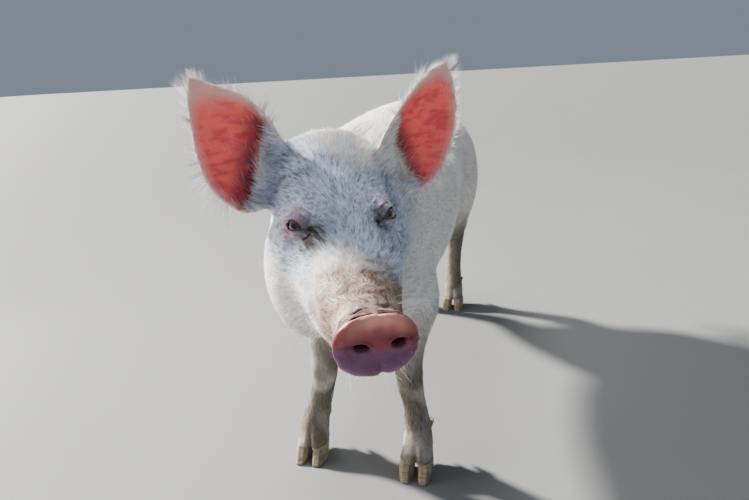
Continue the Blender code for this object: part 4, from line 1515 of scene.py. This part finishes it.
def coat_region(root, on_head, ear):
    """Which of the coat's parts each hair belongs to."""
    region = np.where(root[:, 1] > TRUNK_STARTS, 3, 2)
    region = np.where(root[:, 1] > HIND_STARTS, 4, region)
    region = np.where(on_head > 0.5, 1, region)
    return np.where(ear > 0.5, 0, region)


def hair_shapes(at_root, root, up, guided, lie, rng):
    """Every hair's three stations, its tuft's tone and the way across its blade."""
    count = len(root)
    middle_guide, tip_guide, tip_normals = guided
    guard = rng.uniform(size=count) < GUARD_SHARE
    scale = rng.uniform(0.55, 1.12, count) * np.where(guard, GUARD_LENGTH, 1.0)
    rise = at_root(lie.rise) * rng.uniform(0.15, 1.15, count) * np.where(guard, GUARD_RISE, 1.0)
    free = at_root(lie.free)
    stray = rng.normal(size=count) * (0.16 + 0.14 * free)
    pull, tone = pulled_together(root, CLUMP, rng)
    first = turned(at_root(middle_guide) - root, up, stray)
    second = turned(at_root(tip_guide) - root, up, stray)

    def along(share):
        """The way from each root to this share of its hair's length, over the skin."""
        t = share * scale
        bend = np.stack([4 * t * (1 - t), t * (2 * t - 1)], 1)
        return first * bend[:, :1] + second * bend[:, 1:]

    lift = (rise * (1 + 2.0 * free))[:, None]
    tuck = CLUMPING * (1 - 0.6 * free)[:, None]
    middle = root + along(0.5) + up * lift * 0.62 + pull * tuck * 0.45
    tip = root + along(1.0) + unit(up + unit(at_root(tip_normals))) * lift + pull * tuck
    tip += unit(rng.normal(size=(count, 3))) * (0.0012 * free)[:, None]
    stations = inside_box([root - up * ROOT_DEPTH, middle, tip])
    roll = rng.uniform(-0.7, 0.7, count)[:, None]
    across = unit(np.cross(tip - root, up)) * np.cos(roll) + up * np.sin(roll)
    return stations, tone, across


def grow_coat(points, triangles, normals, lie, masks, corners, material):
    """Hundreds of thousands of short blades over the whole skin, in tufts."""
    rng = np.random.default_rng(7)
    guided = guides(points, triangles, normals, lie)
    chosen, weight = scattered(points, triangles, lie.number, HAIRS, rng)
    vertex = triangles[chosen]

    def at_root(values):
        """What a value at the skin's points comes to at each root."""
        picked = values[vertex]
        shares = weight[:, :, None] if picked.ndim == 3 else weight
        return (picked * shares).sum(1)

    root, up = at_root(points), unit(at_root(normals))
    stations, tone, across = hair_shapes(at_root, root, up, guided, lie, rng)
    widths = at_root(lie.width) * rng.uniform(0.7, 1.2, len(root))
    shade = 0.52 * tone + 0.48 * rng.uniform(size=len(root))
    values = {"root": root, "shade": shade}
    for name in HAIR_MASKS:
        values[name] = at_root(masks[name])
    uv = (corners[chosen] * weight[:, :, None]).sum(1)
    region = coat_region(root, at_root(lie.on_head), at_root(lie.ear * 1.0))
    for number, word in enumerate(COAT_PARTS):
        mine = np.flatnonzero(region == number)
        for part, k in enumerate(range(0, len(mine), HAIRS_IN_PIECE)):
            few = mine[k : k + HAIRS_IN_PIECE]
            name = f"coat_{word}_{part + 1}"
            own = {key: value[few] for key, value in values.items()}
            line = [station[few] for station in stations]
            mesh = blade_mesh(name, line, across[few], widths[few], own, uv[few], up[few])
            piece = add_object(name, mesh)
            mesh.materials.append(material)
            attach(piece, "root")


# Long hairs by where they grow: the middle and the reach of their roots and their way in the
# head's frame, then their length, droop, number and how dark they are.
WHISKERS = {
    "side": (
        ((0.024, 0.038, 0.002), (0.003, 0.012, 0.008), (0.90, -0.30, 0.60)),
        (0.046, 0.80, 9, 0.0),
    ),
    "far_side": (
        ((-0.028, 0.050, -0.006), (0.003, 0.014, 0.010), (-0.9, -0.3, 0.1)),
        (0.030, 0.5, 9, 0.0),
    ),
    "chin": (
        ((-0.014, 0.020, -0.034), (0.009, 0.006, 0.004), (-0.45, -0.05, -1.0)),
        (0.027, 0.2, 16, 0.0),
    ),
    "other_chin": (
        ((0.012, 0.022, -0.034), (0.009, 0.006, 0.004), (0.2, 0.0, -1.0)),
        (0.020, 0.2, 10, 0.0),
    ),
    "brow": (
        ((0.030, 0.128, 0.048), (0.007, 0.004, 0.002), (0.45, -0.5, 0.9)),
        (0.014, 0.5, 9, 0.3),
    ),
    "far_brow": (
        ((-0.030, 0.128, 0.048), (0.007, 0.004, 0.002), (-0.45, -0.5, 0.9)),
        (0.014, 0.5, 9, 0.3),
    ),
}
WHISKER_WIDTH = 0.00042
LASHES = 34
LASH_LENGTH = 0.0062
LASH_WIDTH = 0.00026
# Where the first and the last lash stand: -1 is the inner corner and 1 is the outer one.
LASH_SPREAD = (-0.55, 0.98)


def curved(roots, ways, lengths, droops):
    """Five stations along each hair, which bends down by its droop."""
    down = np.array((0.0, 0.0, -1.0))
    stations = []
    for t in (0.0, 0.28, 0.55, 0.8, 1.0):
        bend = down * (droops * t * t)[:, None]
        stations.append(roots + (ways * t + bend) * lengths[:, None])
    return stations


def add_long_hairs(name, roots, ways, lengths, droops, dark, width, material):
    """One piece of single hairs, each a narrow blade through five stations."""
    count = len(roots)
    stations = inside_box(curved(roots, ways, lengths, droops))
    across = unit(np.cross(ways, np.array((0.3, 1.0, 0.2))))
    values = {key: np.zeros(count) for key in HAIR_MASKS}
    values["tear"] = np.full(count, dark)
    values["shade"] = np.linspace(0.6, 1.0, count)
    values["root"] = roots
    spots = np.stack([np.linspace(0.1, 0.9, count), np.full(count, 0.5)], 1)
    mesh = blade_mesh(name, stations, across, np.full(count, width), values, spots)
    mesh.materials.append(material)
    piece = add_object(name, mesh)
    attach(piece, "root")


def add_whiskers(tree, material):
    """Single long hairs, rooted on the skin, that droop to their tips."""
    rng = np.random.default_rng(11)
    for place, (growth, shape) in WHISKERS.items():
        middle, reach, way = growth
        length, droop, count, dark = shape
        spots = from_head(rng.uniform(-1, 1, (count, 3)) * reach + middle)
        roots = np.array([tuple(tree.find_nearest(spot)[0]) for spot in spots])
        ways = unit(rng.normal(size=(count, 3)) * 0.22 + way) @ HEAD_TURN.T
        lengths = length * rng.uniform(0.6, 1.15, count)
        droops = droop * rng.uniform(0.5, 1.3, count)
        name = "whiskers_" + place
        add_long_hairs(name, roots, ways, lengths, droops, dark, WHISKER_WIDTH, material)


def add_lashes(material):
    """Dark lashes along both lids, longest towards the outer corner."""
    rng = np.random.default_rng(13)
    for side, m in SIDES.items():
        out, back, up = eye_axes(m)
        along = np.linspace(*LASH_SPREAD, LASHES) + rng.normal(size=LASHES) * 0.02
        upper = np.arange(LASHES) % 3 != 0
        reach = np.where(upper, EYE_UPPER, -EYE_LOWER * 0.9)
        rise = reach * (1 - along**2) + np.where(upper, 0.0004, -0.0003)
        flat = np.stack([along * EYE_HALF_LENGTH + EYE_SHIFT, rise], 1)
        height = np.sqrt(np.maximum(EYE_RADIUS**2 - (flat**2).sum(1), 0)) + LID_THICKNESS
        roots = mirrored(EYE_CENTRE, m) + np.outer(height, out)
        roots += np.outer(flat[:, 0], back) + np.outer(rise, up)
        lift = np.where(upper, 0.35, -0.30)
        ways = out + np.outer(0.25 + 0.75 * along, back) + np.outer(lift, up)
        ways = unit(ways + rng.normal(size=(LASHES, 3)) * 0.12) @ HEAD_TURN.T
        lengths = LASH_LENGTH * (0.55 + 0.45 * np.abs(along)) * rng.uniform(0.7, 1.1, LASHES)
        lengths *= np.where(upper, 1.0, 0.6)
        droops = np.where(upper, 0.5, 0.1)
        name = "lashes_" + side
        add_long_hairs(name, from_head(roots), ways, lengths, droops, 1.0, LASH_WIDTH, material)


def main():
    """The stage, the skin, the eyes, the hooves and the coat."""
    add_camera()
    add_lights()
    add_floor()
    points, triangles = build_skin()
    skin = add_object("skin", make_mesh("skin", points, triangles))
    normals = vertex_normals(points, triangles)
    kind = ear_kind(points, triangles, normals)
    kind = with_hairline(kind, points)
    masks = find_masks(points, kind)
    for name in MASKS:
        set_attribute(skin.data, name, masks[name])
    skin.data.materials.append(skin_material())
    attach(skin, "root")
    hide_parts(*flesh_names())
    add_eyes()
    add_hooves()
    corners = unwrapped(skin)
    lie = Lie(points, normals, kind, masks)
    hair = coat_material()
    grow_coat(points, triangles, normals, lie, masks, corners, hair)
    add_whiskers(BVHTree.FromPolygons(points.tolist(), triangles.tolist()), hair)
    add_lashes(hair)


main()
